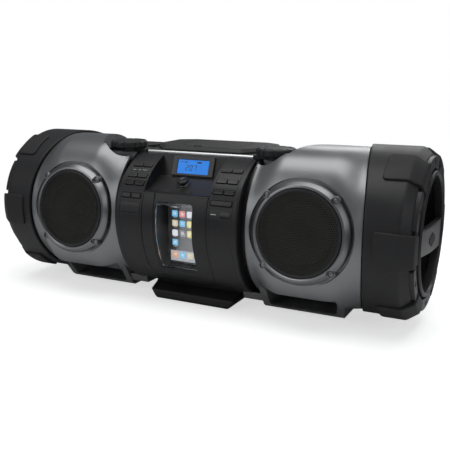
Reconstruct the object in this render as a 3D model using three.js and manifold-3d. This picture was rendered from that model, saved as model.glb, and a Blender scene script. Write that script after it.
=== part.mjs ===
// A tube-shaped portable stereo: two rubber-edged end drums with woofers, two metallic
// speaker shells, a black control module with a dock door, and a flat top with a disc lid.
// Millimetres, +Z up, front faces -Y, the tube's axis runs along X.
import * as THREE from 'three';
import { mergeVertices } from 'three/addons/utils/BufferGeometryUtils.js';
import Module from 'manifold-3d';

const wasm = await Module();
wasm.setup();

// Overall sizes
const bodyLength = 652;        // between the two outer ring lips
const drumRadius = 115;        // end drums
const shellRadius = 111;       // silver shells
const moduleReach = 121.5;     // front of the control module, from the axis
const moduleHalf = 97;         // half width of the control module
const channelHalf = 103.7;     // half width with the dark channel beside it
const footClear = 11;          // table below the end drums
const deckHeight = 96;         // flat top, above the axis
const wall = 4;                // moulded wall
const gap = 0.35;              // between parts that touch
const seamMid = 241.1;         // drum to shell seam at the axis plane
const seamLean = 22.4;         // how much further out the seam is at the front

// Speakers
const speakerX = 182;
const speakerTilt = 6.1 * Math.PI / 180;
const speakerLift = 9.6;       // centre of the grille above the axis
const speakerReach = 117.5;    // grille centre in front of the axis
const bezelRadius = 68;
const holeRadius = 71.5;
const recessDepth = 14;        // baffle behind the grille plane
const grilleRadius = 57.4;
const shellSquare = 3.3;       // section exponent at the speaker; 2 is a circle

// Woofers
const openingRadius = 78;
const wooferRadius = 69.7;
const baffleDepth = 27;        // from the ring lip to the baffle

// Control module
const doorHalf = 52.2;
const doorTop = 46;
const doorBottom = -78;
const doorThick = 3.8;
const windowHalf = 29.3;
const windowTop = 33;
const windowBottom = -65;
const playerWide = 60;
const playerTall = 106;
const playerThick = 8.5;
const playerFront = 84;        // player's face in front of the axis

// Top
const knobX = 121;
const knobY = -45;
const knobRadius = 28;
const knobTall = 10;
const knobBase = 98.8;
const discRadius = 61.5;       // well for a 120 mm disc
const discY = 23;
const lidTall = 6.6;

// Feet
const footHalf = 61;
const frameInner = 112;
const frameOuter = 235;
const frameDrop = 2;           // underside of the foot frames below the end drums
const padBody = 12;            // bumper lug half angle, degrees

// Facets round turned parts; parts that fit together share a count
const bigTurn = 30;
const coneTurn = 16;
const speakerTurn = 22;
const smallTurn = 12;

const halfLength = bodyLength / 2;
const axisHeight = drumRadius + footClear;    // tube axis above the table
const frameBottom = drumRadius + frameDrop;   // under the axis
const aheadOf = moduleReach + 40;             // clear of the front, for cutting tools
const throatRadius = 60;                      // hole in the baffle behind a front speaker
const faceX = halfLength - 5;                 // flat of the end face
const TAU = Math.PI * 2;
const rad = (d) => d * Math.PI / 180;

// ---------- solids ----------

function toSolid(geometry) {
  let g = geometry.clone();
  for (const name of ['normal', 'uv', 'uv1']) g.deleteAttribute(name);
  g = mergeVertices(g, 1e-4);
  const position = g.getAttribute('position');
  const index = g.index.array;
  let volume = 0;
  const a = new THREE.Vector3(), b = new THREE.Vector3(), c = new THREE.Vector3();
  for (let i = 0; i < index.length; i += 3) {
    a.fromBufferAttribute(position, index[i]);
    b.fromBufferAttribute(position, index[i + 1]);
    c.fromBufferAttribute(position, index[i + 2]);
    volume += a.dot(b.cross(c));
  }
  const tris = [];
  for (let i = 0; i < index.length; i += 3) {
    const [p, q, r] = [index[i], index[i + 1], index[i + 2]];
    if (p === q || q === r || r === p) continue;
    tris.push(...(volume > 0 ? [p, q, r] : [p, r, q]));
  }
  const mesh = new wasm.Mesh({
    numProp: 3,
    vertProperties: Float32Array.from(position.array),
    triVerts: Uint32Array.from(tris),
  });
  return new wasm.Manifold(mesh);
}

function toGeometry(solid) {
  const mesh = solid.getMesh();
  const g = new THREE.BufferGeometry();
  g.setAttribute('position', new THREE.BufferAttribute(Float32Array.from(mesh.vertProperties), 3));
  g.setIndex(new THREE.BufferAttribute(Uint32Array.from(mesh.triVerts), 1));
  g.computeVertexNormals();
  return g;
}

const join = (...solids) => solids.reduce((s, t) => s.add(t));
const cut = (solid, ...tools) => tools.reduce((s, t) => s.subtract(t), solid);

function box(x0, x1, y0, y1, z0, z1) {
  const g = new THREE.BoxGeometry(x1 - x0, y1 - y0, z1 - z0);
  g.translate((x0 + x1) / 2, (y0 + y1) / 2, (z0 + z1) / 2);
  return g;
}

function shapeOf(points) {
  return new THREE.Shape(points.map(([u, v]) => new THREE.Vector2(u, v)));
}

// An outline in (y, z) swept along X from x0 to x1
function prismX(points, x0, x1) {
  const g = new THREE.ExtrudeGeometry(shapeOf(points), { depth: x1 - x0, bevelEnabled: false });
  g.applyMatrix4(new THREE.Matrix4().set(0, 0, 1, x0, 1, 0, 0, 0, 0, 1, 0, 0, 0, 0, 0, 1));
  return g;
}

// An outline in (x, z) swept along Y from y0 to y1
function prismY(points, y0, y1) {
  const g = new THREE.ExtrudeGeometry(shapeOf(points), { depth: y1 - y0, bevelEnabled: false });
  g.rotateX(Math.PI / 2);
  g.translate(0, y1, 0);
  return g;
}

// An outline in (x, y) raised along Z from z0 to z1
function prismZ(points, z0, z1, bevel = 0) {
  const g = new THREE.ExtrudeGeometry(shapeOf(points), {
    depth: z1 - z0 - 2 * bevel, bevelEnabled: bevel > 0, bevelThickness: bevel, bevelSize: bevel,
    bevelOffset: -bevel, bevelSegments: 1,
  });
  g.translate(0, 0, z0 + bevel);
  return g;
}

// A closed loop of (radius, height) points turned about Z
function turnZ(points, segments = coneTurn) {
  const loop = [...points, points[0]].map(([r, h]) => new THREE.Vector2(r, h));
  const g = new THREE.LatheGeometry(loop, segments);
  g.rotateX(Math.PI / 2);
  return g;
}

// A profile that starts and ends on the axis, turned about Z
function spinZ(points, segments = coneTurn) {
  const g = new THREE.LatheGeometry(points.map(([r, h]) => new THREE.Vector2(r, h)), segments);
  g.rotateX(Math.PI / 2);
  return g;
}

const ontoX = (g) => g.rotateY(Math.PI / 2);   // the Z axis turned onto +X
const mirror = (solid) => solid.mirror([1, 0, 0]);

// Turned parts of a front speaker: local +Z points out of the cabinet
function atSpeaker(g) {
  g.rotateX(Math.PI / 2 - speakerTilt);
  return g.translate(speakerX, -speakerReach, speakerLift);
}

function arc(radius, from, to, steps) {
  return Array.from({ length: steps + 1 }, (_, i) => {
    const t = rad(from + (to - from) * i / steps);
    return [-radius * Math.cos(t), radius * Math.sin(t)];
  });
}

// ---------- the main outlines ----------

// The shell is a cylinder whose front half swells towards a square round the speaker,
// so that the speaker sits in a nearly flat face tilted slightly upwards.
function swell(x) {
  const t = Math.min(1, Math.max(0, 1 - (Math.abs(Math.abs(x) - speakerX) - 30) / 46));
  return 2 + (shellSquare - 2) * t * t * (3 - 2 * t);
}

function shellSkin(inset, x0, x1) {
  const g = new THREE.CylinderGeometry(shellRadius - inset, shellRadius - inset, x1 - x0, bigTurn, 6);
  g.rotateZ(-Math.PI / 2);
  g.translate((x0 + x1) / 2, 0, 0);
  const p = g.getAttribute('position');
  for (let i = 0; i < p.count; i += 1) {
    const n = swell(p.getX(i));
    const angle = Math.atan2(p.getZ(i), -p.getY(i)) - speakerTilt;
    const c = Math.abs(Math.cos(angle)), s = Math.abs(Math.sin(angle));
    const grow = Math.cos(angle) > 0 ? 1 / Math.pow(Math.pow(c, n) + Math.pow(s, n), 1 / n) : 1;
    p.setY(i, p.getY(i) * grow);
    p.setZ(i, p.getZ(i) * grow);
  }
  return g;
}

// Control module section, seen from the side: (angle from the front, distance from the axis)
const moduleSection = [
  [-180, 111], [-160, 111], [-140, 111], [-120, 111], [-100, 111], [-84, 111.5], [-72, 113],
  [-60, moduleReach - 5.5], [-50, moduleReach - 2.5], [-40, moduleReach - 0.7], [-30, moduleReach],
  [-20, moduleReach], [-10, moduleReach], [0, moduleReach], [10, moduleReach],
  [20, moduleReach - 1], [30, moduleReach - 3.5], [40, moduleReach - 8], [50, 109.5],
  [60, 105.5], [66, 103], [80, 105], [100, 109], [120, 111], [140, 111], [160, 111],
];
function sectionPoints(inset) {
  return moduleSection.map(([a, r]) => [-(r - inset) * Math.cos(rad(a)), (r - inset) * Math.sin(rad(a))]);
}

// The flat top's outline, seen from above; `grow` moves it outwards
function deckOutline(grow) {
  return [
    [-150 - grow, -70 - grow], [150 + grow, -70 - grow], [187 + grow, 5 - grow], [190 + grow, 64 + grow],
    [-190 - grow, 64 + grow], [-187 - grow, 5 - grow],
  ];
}
const deckFloor = deckHeight - 4.6;
const deckNotch = toSolid(prismZ(deckOutline(0), deckFloor, 150));

// Half space on the shell's side of the seam; positive offset moves it outwards
function seamBlock(offset) {
  const lean = Math.atan(seamLean / 110);
  const g = new THREE.BoxGeometry(400, 700, 700);
  g.translate(-200 + offset, 0, 0);
  g.rotateZ(lean);
  g.translate(seamMid, 0, 0);
  return toSolid(g);
}

// ---------- silver shells ----------

const skinEnd = 275;
const shellOuter = toSolid(shellSkin(0, channelHalf + gap, skinEnd));
const shellInner = toSolid(shellSkin(wall, channelHalf - 5, skinEnd + 5));
const cup = toSolid(atSpeaker(turnZ([
  [throatRadius, -recessDepth - 3], [holeRadius + 3, -recessDepth - 3], [holeRadius + 3, 6],
  [holeRadius, 6], [holeRadius, -recessDepth], [throatRadius, -recessDepth]], speakerTurn)));
const holeTool = toSolid(atSpeaker(spinZ([
  [0, -recessDepth], [holeRadius, -recessDepth], [holeRadius, 30], [0, 30]], speakerTurn)));
const throatTool = toSolid(atSpeaker(spinZ([
  [0, -60], [throatRadius, -60], [throatRadius, -recessDepth + 1], [0, -recessDepth + 1]], speakerTurn)));
const deckBed = toSolid(prismZ(deckOutline(wall), deckFloor - 3, 150));
const scoopFront = toSolid(box(0, 300, -150, knobY - 4, 60, 160));
const scoopTool = toSolid(spinZ([[0, 84], [24, 84], [31, 88], [33, 150], [0, 150]], 18)
  .translate(knobX + 3, knobY, 0)).intersect(scoopFront);
const scoopCup = toSolid(spinZ([[0, 81], [28, 81], [36, 88], [37, 150], [0, 150]], 18)
  .translate(knobX + 3, knobY, 0));
const strapTool = toSolid(prismZ(ovalPoints(212, 2, 7, 13), 90, 150));

function ovalPoints(cx, cy, rx, ry, count = 14) {
  return Array.from({ length: count }, (_, i) =>
    [cx + rx * Math.cos(TAU * i / count), cy + ry * Math.sin(TAU * i / count)]);
}

// Hollow under the speaker, behind the foot frame's opening
const hollow = (inner, from, to, x0, x1) => toSolid(prismX(
  [...arc(160, from, to, 8), ...arc(inner, from, to, 8).reverse()], x0, x1));
const footHollow = hollow(88, -80, -46, frameInner + 8, frameOuter - 7);
const footHollowWall = hollow(84, -83, -42, frameInner + 4, frameOuter - 3);

let shell = join(shellOuter.subtract(shellInner), shellOuter.intersect(cup), shellOuter.intersect(footHollowWall),
  shellOuter.intersect(deckBed), shellOuter.intersect(scoopCup));
shell = cut(shell, holeTool, throatTool, deckNotch, scoopTool, strapTool, footHollow);
shell = shell.intersect(seamBlock(-gap / 2));

// ---------- end drums ----------

const drumProfile = [
  [drumRadius, 200], [drumRadius, halfLength - 18], [104, faceX - 1], [openingRadius + 6.4, faceX],
  [openingRadius + 6.4, faceX - 6], [openingRadius + 2, faceX - 6],
  [openingRadius + 2, halfLength - baffleDepth], [wooferRadius + 0.8, halfLength - baffleDepth],
  [wooferRadius + 0.8, halfLength - baffleDepth - 4], [openingRadius + 6, halfLength - baffleDepth - 4],
  [drumRadius - 5, halfLength - 24], [drumRadius - 5, 200],
];
let drum = toSolid(ontoX(turnZ(drumProfile, bigTurn)));
drum = drum.subtract(seamBlock(gap / 2));

const lugAngles = [-1, 56.5, 123, 179, -123, -57];
function lug(angle) {
  const profile = toSolid(ontoX(turnZ([
    [drumRadius + gap, faceX - 44], [drumRadius + 3, faceX - 40], [drumRadius + 3, halfLength - 17],
    [106, halfLength], [92, halfLength + 2], [86.5, halfLength - 1], [86.5, faceX + gap],
    [104 + gap, faceX + gap - 0.6], [drumRadius + gap, halfLength - 18 + gap],
  ], bigTurn)));
  const wedge = [[0, 0], ...arc(2 * drumRadius, angle - padBody, angle + padBody, 1)];
  return profile.intersect(toSolid(prismX(wedge, faceX - 61, faceX + 24)));
}
const bumperRing = toSolid(ontoX(turnZ([
  [87, faceX + gap], [98, faceX + gap], [98, faceX + 3], [87, faceX + 3.4]], bigTurn)));
const bumper = join(bumperRing, ...lugAngles.map(lug));

const endRing = toSolid(ontoX(turnZ([
  [openingRadius, faceX - 5.6], [openingRadius + 6, faceX - 5.6], [openingRadius + 6, halfLength + 1],
  [openingRadius + 2, halfLength + 3], [openingRadius, halfLength + 1]], bigTurn)));

const bar = toSolid(prismX([[-76, 19], [-76, -15], [0, -25], [76, -32], [76, 8], [0, 11]],
  faceX - 2, halfLength + 1));
const barPiece = bar.intersect(toSolid(ontoX(spinZ([
  [0, faceX - 21], [openingRadius - gap, faceX - 21], [openingRadius - gap, faceX + 19], [0, faceX + 19]],
bigTurn))));

const baffleX = halfLength - baffleDepth;
const wooferCone = toSolid(ontoX(spinZ([
  [0, baffleX - 14], [18, baffleX - 14], [20, baffleX - 20], [58, baffleX - 1], [61, baffleX + 3],
  [66, baffleX + 3], [wooferRadius, baffleX - 1.6], [wooferRadius, baffleX - 0.2],
  [66.4, baffleX + 4.4], [60.6, baffleX + 4.4], [57, baffleX + 0.8], [22, baffleX - 15],
  [12, baffleX - 9], [0, baffleX - 7]])));
const wooferMotor = toSolid(ontoX(spinZ([
  [0, baffleX - 62], [38, baffleX - 62], [38, baffleX - 44], [66, baffleX - 14], [76, baffleX - 8],
  [76, baffleX - 4 - gap], [wooferRadius + 0.4, baffleX - 4 - gap], [wooferRadius + 0.4, baffleX - 7],
  [60, baffleX - 14], [34, baffleX - 38], [0, baffleX - 38]])));

// ---------- front speakers ----------

const bezelRing = turnZ([
  [grilleRadius + gap, -recessDepth + gap], [bezelRadius, -recessDepth + gap], [bezelRadius, -9.7],
  [63.5, -6], [60.5, 1.6], [grilleRadius + gap, 1.2]], speakerTurn);
const bezelScrews = [45, 135, 225, 315].map((a) => {
  const g = spinZ([[0, -recessDepth + gap], [4.6, -recessDepth + gap], [4.6, -7.4], [0, -7.4]], 6);
  return toSolid(atSpeaker(g.translate(64.6 * Math.cos(rad(a)), 64.6 * Math.sin(rad(a)), 0)));
});
const bezel = join(toSolid(atSpeaker(bezelRing)), ...bezelScrews);
const grille = toSolid(atSpeaker(spinZ([
  [0, 0.4], [grilleRadius, -1], [grilleRadius, 0.3], [30, 1.6], [0, 2]], speakerTurn)));
const coneEdge = grilleRadius - 1.4;
const driverCone = toSolid(atSpeaker(spinZ([
  [0, -26], [12, -26], [coneEdge - 10, -9], [coneEdge - 4, -6.4], [coneEdge, -9.4], [coneEdge, -8],
  [coneEdge - 4.4, -4.8], [coneEdge - 11, -7.6], [16, -22], [9, -19], [0, -18]])));
const driverMotor = toSolid(atSpeaker(spinZ([
  [0, -62], [30, -62], [30, -46], [throatRadius - 4, -22], [throatRadius - 1.4, -22],
  [throatRadius - 1.4, -recessDepth - 1], [throatRadius - 3.4, -recessDepth - 1], [throatRadius - 3.4, -17],
  [throatRadius - 10, -17], [20, -32], [0, -32]])));

// ---------- control module ----------

const moduleSolid = toSolid(prismX(sectionPoints(0), -moduleHalf, moduleHalf));
const channel = toSolid(ontoX(spinZ([
  [0, -channelHalf], [104, -channelHalf], [104, channelHalf], [0, channelHalf]], bigTurn)));
const moduleHull = join(moduleSolid, channel);
const moduleVoid = join(
  toSolid(prismX(sectionPoints(wall + 1), -moduleHalf + wall, moduleHalf - wall)),
  toSolid(ontoX(spinZ([[0, -130], [99, -130], [99, 130], [0, 130]], bigTurn))));

// Display bay: shelf, back wall and two side walls
const bayOutline = (g) => [[-aheadOf, doorTop - g], [-104, doorTop - g], [-66 + g * 0.4, 62 - g],
  [-55 + g, 93], [-55 + g, 120], [-aheadOf, 120]];
const bayTool = toSolid(prismX(bayOutline(0), -doorHalf, doorHalf));
const bayWalls = toSolid(prismX(bayOutline(3), -doorHalf - 3, doorHalf + 3)).intersect(moduleHull);
const bayBack = (z) => -66 + (z - 62) * 11 / 31;
const trimY = -42.8;
const lintel = toSolid(prismX([[trimY + gap, 86], [-34, 86], [-34, 110], [trimY + gap, 110]], -60, 60))
  .intersect(moduleHull);
const trimSeat = toSolid(box(-86.5 - gap, 86.5 + gap, -50, trimY + gap, 87.6, 110));

// Dock: a shallow recess for the door and a pocket for the player
const recessTop = Math.asin(doorTop / moduleReach) * 180 / Math.PI;
const recessLow = Math.asin(doorBottom / moduleReach) * 180 / Math.PI;
const recessFloor = moduleReach - doorThick - 1.2;
function ringSector(inner, outer, from, to) {
  return [...arc(outer, from, to, 10), ...arc(inner, from, to, 10).reverse()];
}
const recessTool = toSolid(prismX(ringSector(recessFloor, aheadOf, recessLow, recessTop), -doorHalf, doorHalf));
const recessWalls = toSolid(prismX(ringSector(recessFloor - 3, moduleReach, recessLow - 2, recessTop + 2),
  -doorHalf - 3, doorHalf + 3));
const pocketHalf = playerWide / 2 + 5;
const pocketBack = playerFront - playerThick - 3;
const pocketTool = toSolid(box(-pocketHalf, pocketHalf, -aheadOf, -pocketBack, -70, 42));
const pocketWalls = toSolid(box(-pocketHalf - 3, pocketHalf + 3, -recessFloor + 3, -pocketBack + 3, -73, 43));

// Button seats on the two strips beside the door
const buttonRows = [43.5, 33.5, 27.5, 18.5];         // angle from the front, left strip
const rightRows = [43.5, 34, 26];
function seatAt(angle) {
  const rows = moduleSection;
  const i = rows.findIndex(([a]) => a > angle);
  const [a0, r0] = rows[i - 1], [a1, r1] = rows[i];
  const at = (k) => [-k[1] * Math.cos(rad(k[0])), k[1] * Math.sin(rad(k[0]))];
  const [p, q] = [at([a0, r0]), at([a1, r1])];
  const t = (angle - a0) / (a1 - a0);
  return { y: p[0] + (q[0] - p[0]) * t, z: p[1] + (q[1] - p[1]) * t, tilt: Math.atan2(q[0] - p[0], q[1] - p[1]) };
}
// A block standing out of the strip's surface, from `low` to `high` along its normal
function onStrip(angle, x, wide, tall, low, high) {
  const seat = seatAt(angle);
  const g = new THREE.BoxGeometry(wide, high - low, tall);
  g.translate(0, -(low + high) / 2, 0);
  g.rotateX(-seat.tilt);
  return g.translate(x, seat.y, seat.z);
}
const stripX = 72;
const buttonWide = 14.6;
const buttonTall = 6.4;
const buttonTravel = 1.2;
const buttons = [];
buttonRows.forEach((angle, row) => [-1, 1].forEach((side, k) => {
  buttons.push({ name: `button_left_${row + 1}${'ab'[k]}`, angle, x: -stripX + side * 8.2, wide: buttonWide });
}));
rightRows.forEach((angle, row) => [-1, 1].forEach((side, k) => {
  buttons.push({ name: `button_right_${row + 1}${'ab'[k]}`, angle, x: stripX + side * 8.2, wide: buttonWide });
}));
buttons.push({ name: 'button_bar', angle: 18.5, x: stripX, wide: 31 });
const seats = buttons.map((b) => toSolid(onStrip(b.angle, b.x, b.wide + 0.8, buttonTall + 0.8, -wall - 4, 4)));

// Back: battery opening and the mains inlet
const batteryTool = toSolid(box(-62, 62, 90, 125, -48, 22));
const batteryTray = toSolid(box(-66, 66, 62, 125, -52, 26)).intersect(moduleSolid);
const batterySpace = toSolid(box(-60, 60, 66, 125, -46, 20));
const inletTool = toSolid(box(74, 90, 90, 125, -38, -20));
const inletBox = toSolid(box(70, 92.5, 86, 125, -42, -16)).intersect(moduleSolid);
const wellCup = toSolid(spinZ([[0, 60], [discRadius + 2.9, 60], [discRadius + 2.9, 150], [0, 150]], speakerTurn)
  .translate(0, discY, 0));
// The disc well is deeper than the tube, so its housing stands out behind the tube's top
const bumpOutline = (g) => [[-70 - g, 10], [70 + g, 10], [70 + g, 56], [46 + g / 2, 86 + g],
  [-46 - g / 2, 86 + g], [-70 - g, 56]];
const bump = toSolid(prismZ(bumpOutline(6), 66, deckFloor));
const bumpVoid = toSolid(prismZ(bumpOutline(2.5), 50, deckFloor - 4));

let housing = join(moduleHull, bump).subtract(join(moduleVoid, bumpVoid));
housing = join(housing, bayWalls, lintel, recessWalls, pocketWalls, inletBox, batteryTray,
  toSolid(prismZ(deckOutline(0), deckFloor - 3, deckFloor)).intersect(moduleHull));
housing = cut(housing, bayTool, recessTool, pocketTool, batterySpace, batteryTool, inletTool, deckNotch,
  wellCup, trimSeat, ...seats);

const batteryDoor = toSolid(box(-61.6, 61.6, 92, 125, -47.6, 21.6))
  .intersect(moduleSolid)
  .subtract(toSolid(prismX([[0, 130], ...arc(107, 110, 250, 14), [0, -130]], -100, 100)));

const doorFrom = recessLow + 0.35;
const doorTo = recessTop - 0.35;
let door = toSolid(prismX(ringSector(moduleReach - doorThick, moduleReach, doorFrom, doorTo),
  -doorHalf + gap, doorHalf - gap));
door = door.subtract(toSolid(box(-windowHalf, windowHalf, -aheadOf, -60, windowBottom, windowTop)));
const windowPane = toSolid(prismX(ringSector(moduleReach - 3.2, moduleReach - 1.2,
  doorFrom + 2, doorTo - 2), -windowHalf + gap, windowHalf - gap))
  .intersect(toSolid(box(-60, 60, -aheadOf, -60, windowBottom + gap, windowTop - gap)));

const playerLow = -62;
const player = toSolid(box(-playerWide / 2, playerWide / 2, -playerFront, -playerFront + playerThick,
  playerLow, playerLow + playerTall - 4));
// The player stands on a cradle that swings out with the door
const cradle = join(toSolid(box(-30, 30, -93.5, -pocketBack - gap, -70 + gap, -66.4)),
  toSolid(box(-12, 12, -playerFront + 1.5, -playerFront + 7, -67, playerLow - gap)));

const bayPlate = (z0, z1, low, high) => [[bayBack(z0) - high, z0], [bayBack(z0) - low, z0],
  [bayBack(z1) - low, z1], [bayBack(z1) - high, z1]];
const displayPanel = toSolid(prismX(bayPlate(63, 91, gap, 3), -34, 34))
  .subtract(toSolid(prismX(bayPlate(66, 86, 2.2, 9), -25.6, 25.6)));

// ---------- top ----------

const deckSkin = toSolid(shellSkin(0, -195, 195));
const deckSpan = join(toSolid(box(-300, 300, trimY + 3 * gap, 90, 60, 120)),
  toSolid(box(-300, -channelHalf - 3, -90, 90, 60, 120)), toSolid(box(channelHalf + 3, 300, -90, 90, 60, 120)));
let deck = deckSkin.intersect(toSolid(prismZ(deckOutline(-gap), deckFloor + gap, deckHeight)))
  .intersect(deckSpan);
const well = toSolid(spinZ([[0, 76], [discRadius + 2.5, 76], [discRadius + 2.5, 95], [0, 95]], speakerTurn)
  .translate(0, discY, 0));
const wellTool = toSolid(spinZ([[0, 79], [20, 79], [22, 82], [discRadius, 84], [discRadius, 150], [0, 150]], speakerTurn)
  .translate(0, discY, 0));
const collar = toSolid(spinZ([[0, 92], [14, 92], [14, knobBase - gap], [0, knobBase - gap]], smallTurn)
  .translate(knobX, knobY, 0));
const jackX = -163, jackY = 10;
deck = join(deck, well, toSolid(prismZ(bumpOutline(6), deckFloor + gap, deckHeight)));
deck = cut(deck, wellTool, scoopTool, mirror(scoopTool));
deck = join(deck, collar, mirror(collar));
deck = cut(deck, toSolid(prismZ(ovalPoints(jackX, jackY, 13 + gap, 20 + gap), 60, 150)));

const jackPanel = cut(toSolid(prismZ(ovalPoints(jackX, jackY, 13, 20), deckFloor + gap, deckHeight + 2.4, 1.2)),
  toSolid(prismZ(ovalPoints(jackX, jackY, 8.6, 14), deckFloor + 1.6, 120)));

function knob() {
  const scallops = 14;
  const points = [];
  for (let i = 0; i < scallops * 2; i += 1) {
    const t = TAU * i / (scallops * 2);
    const r = knobRadius - (i % 2 === 0 ? 1.2 : 0);
    points.push([r * Math.cos(t), r * Math.sin(t)]);
  }
  return toSolid(prismZ(points, knobBase, knobBase + knobTall, 1.6));
}

// Disc lid: a plate with ramped ends, hinged along its back edge, with a rim that drops into
// the well's mouth
const lidTop = deckHeight + gap + lidTall;
const lidBack = 89;
const lidPlan = [[-64, -40.5], [64, -40.5], [90, -10], [90, 54], [52, lidBack], [-52, lidBack], [-90, 54], [-90, -10]];
let lid = toSolid(prismZ(lidPlan, deckHeight + gap, lidTop + 1, 0))
  .intersect(toSolid(prismX([[-42, deckHeight + gap], [lidBack, deckHeight + gap], [lidBack, 98.6], [62, lidTop],
    [-36, lidTop], [-42, 98.6]], -100, 100)));
lid = lid.subtract(toSolid(spinZ([[0, 90], [discRadius - 2, 90], [discRadius - 2, lidTop - 2.6], [0, lidTop - 2.6]], speakerTurn)
  .translate(0, discY, 0)));
const buttonLidX = -8, buttonLidY = -29;
lid = lid.subtract(toSolid(box(buttonLidX - 7.4, buttonLidX + 7.4, buttonLidY - 4.4, buttonLidY + 4.4, 100, 120)));
const lidButton = toSolid(prismZ([[buttonLidX - 7, buttonLidY - 4], [buttonLidX + 7, buttonLidY - 4],
  [buttonLidX + 7, buttonLidY + 4], [buttonLidX - 7, buttonLidY + 4]], lidTop - 2.2, lidTop + 1.6, 0.8));
const spindle = toSolid(spinZ([[0, 79.4], [16, 79.4], [16, 82.6], [8, 84], [7.2, 87.6], [0, 88.4]], smallTurn)
  .translate(0, discY, 0));

const trim = toSolid(prismX([[trimY - 3.2, 88], [trimY, 88], [trimY, 95.4], [trimY - 1.4, 95.6], [trimY - 3.2, 94]],
  -86.5, 86.5));

// ---------- feet ----------

// A skid with an open front: two cheeks and a floor, and a strap towards the middle
let footFrame = toSolid(prismX([[-81, -78], [-74, -70], [44, -70], [44, -frameBottom], [-54, -frameBottom],
  [-60, -frameBottom + 4]], frameInner, frameOuter));
footFrame = footFrame.subtract(toSolid(box(frameInner + 9, frameOuter - 8, -200, 200, -frameBottom + 6, -50)));
footFrame = footFrame.add(toSolid(prismX([[-66, -96], [-62, -108], [40, -108], [40, -96]], 82, frameInner + 1)));
const tube = (radius) => toSolid(ontoX(spinZ([[0, 60], [radius, 60], [radius, 300], [0, 300]], bigTurn)));
footFrame = cut(footFrame, tube(shellRadius + wall + gap), tube(drumRadius + gap).subtract(seamBlock(0)),
  toSolid(prismX(sectionPoints(-gap), -100, 110)));
footFrame = footFrame.subtract(shellOuter);
const footPad = toSolid(box(140, 205, -14, 40, -axisHeight, -frameBottom - gap));

const footPlan = [[-80, -52], [-70, -72], [70, -72], [80, -52], [80, 52], [70, 72], [-70, 72], [-80, 52]];
const centreFoot = toSolid(prismZ(footPlan, -axisHeight, -98))
  .intersect(toSolid(prismY([[-80, -104], [80, -104], [80, -98], [-80, -98], [-80, -104]], -90, 90))
    .add(toSolid(prismY([[-80, -105], [-footHalf, -axisHeight], [footHalf, -axisHeight], [80, -105], [80, -98],
      [-80, -98]], -90, 90))))
  .intersect(toSolid(prismX([[-76, -axisHeight], [76, -axisHeight], [73, -113], [53, -104], [50, -98],
    [-50, -98], [-53, -104], [-73, -113]], -90, 90)))
  .subtract(toSolid(prismX(sectionPoints(-gap), -100, 100)));

// ---------- the object ----------

const looks = {
  silver: [0x8e9094, 0.36, 0.75], black: [0x17181a, 0.5, 0.0], softBlack: [0x141516, 0.72, 0.0],
  rubber: [0x0f1011, 0.85, 0.0], deckGrey: [0x2c2d2f, 0.6, 0.1], frameGrey: [0x6d6f71, 0.5, 0.5],
  bezel: [0x9fa1a4, 0.3, 0.85], mesh: [0x333436, 0.5, 0.6], cone: [0x1b1b1c, 0.6, 0.0],
  magnet: [0x3a3a3c, 0.5, 0.6], glass: [0x22262a, 0.08, 0.0], lcd: [0x2f7fd6, 0.2, 0.0],
  button: [0x202123, 0.4, 0.0], device: [0xb9bcc0, 0.3, 0.4], board: [0x1f5a38, 0.6, 0.0],
};

const object = new THREE.Group();
object.name = 'stereo';
const axisFrame = new THREE.Group();
// The part's own origin is the middle of its footprint on the table
const frontReach = speakerReach + 1.6 * Math.cos(speakerTilt) + 60.5 * Math.sin(speakerTilt);
axisFrame.position.set(0, (frontReach - drumRadius - 3) / 2, axisHeight);
object.add(axisFrame);

function place(name, solid, look) {
  const [color, roughness, metalness] = looks[look];
  const mesh = new THREE.Mesh(toGeometry(solid), new THREE.MeshStandardMaterial({ color, roughness, metalness }));
  mesh.name = name;
  axisFrame.add(mesh);
}

function pair(name, rightSolid, look) {
  place(`left_${name}`, mirror(rightSolid), look);
  place(`right_${name}`, rightSolid, look);
}

pair('shell', shell, 'silver');
place('control_housing', housing, 'black');
place('top_deck', deck, 'deckGrey');
place('trim_strip', trim, 'bezel');
pair('foot_frame', footFrame, 'frameGrey');
place('centre_foot', centreFoot, 'softBlack');
pair('foot_pad', footPad, 'rubber');
pair('end_drum', drum, 'softBlack');
pair('bumper', bumper, 'rubber');
pair('end_ring', endRing, 'softBlack');
pair('badge_bar', barPiece, 'black');
pair('woofer_cone', wooferCone, 'cone');
pair('woofer_motor', wooferMotor, 'magnet');
pair('bezel', bezel, 'bezel');
pair('grille', grille, 'mesh');
pair('driver_cone', driverCone, 'cone');
pair('driver_motor', driverMotor, 'magnet');
place('display_panel', displayPanel, 'lcd');
place('dock_door', door, 'black');
place('door_window', windowPane, 'glass');
place('dock_cradle', cradle, 'black');
place('pocket_player', player, 'device');
place('volume_knob', knob().translate([knobX, knobY, 0]), 'softBlack');
place('sound_knob', knob().translate([-knobX, knobY, 0]), 'softBlack');
place('disc_lid', lid, 'deckGrey');
place('lid_button', lidButton, 'button');
place('disc_spindle', spindle, 'black');
place('jack_panel', jackPanel, 'frameGrey');
place('battery_door', batteryDoor, 'softBlack');

// Joystick: a tilting cap on a stem, standing square to the shelf
const shelfTilt = Math.atan2(62 - doorTop, 104 - 66);
const onShelf = (g) => toSolid(g.rotateX(shelfTilt).translate(-2, -86, 53.6));
const joystick = onShelf(spinZ([[0, 1.4], [3, 1.4], [3.2, 4.4], [8.2, 5.2], [8.4, 8], [6.4, 9.6], [0, 8.8]], smallTurn));
const joystickRing = onShelf(turnZ([[3.9, 1], [7, 1], [7, 3.2], [3.9, 3.2]], smallTurn));
place('joystick', joystick, 'button');
place('joystick_ring', joystickRing, 'magnet');

for (const b of buttons) {
  place(b.name, toSolid(onStrip(b.angle, b.x, b.wide, buttonTall, -wall + 1, buttonTravel + 0.2)), 'button');
}

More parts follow.
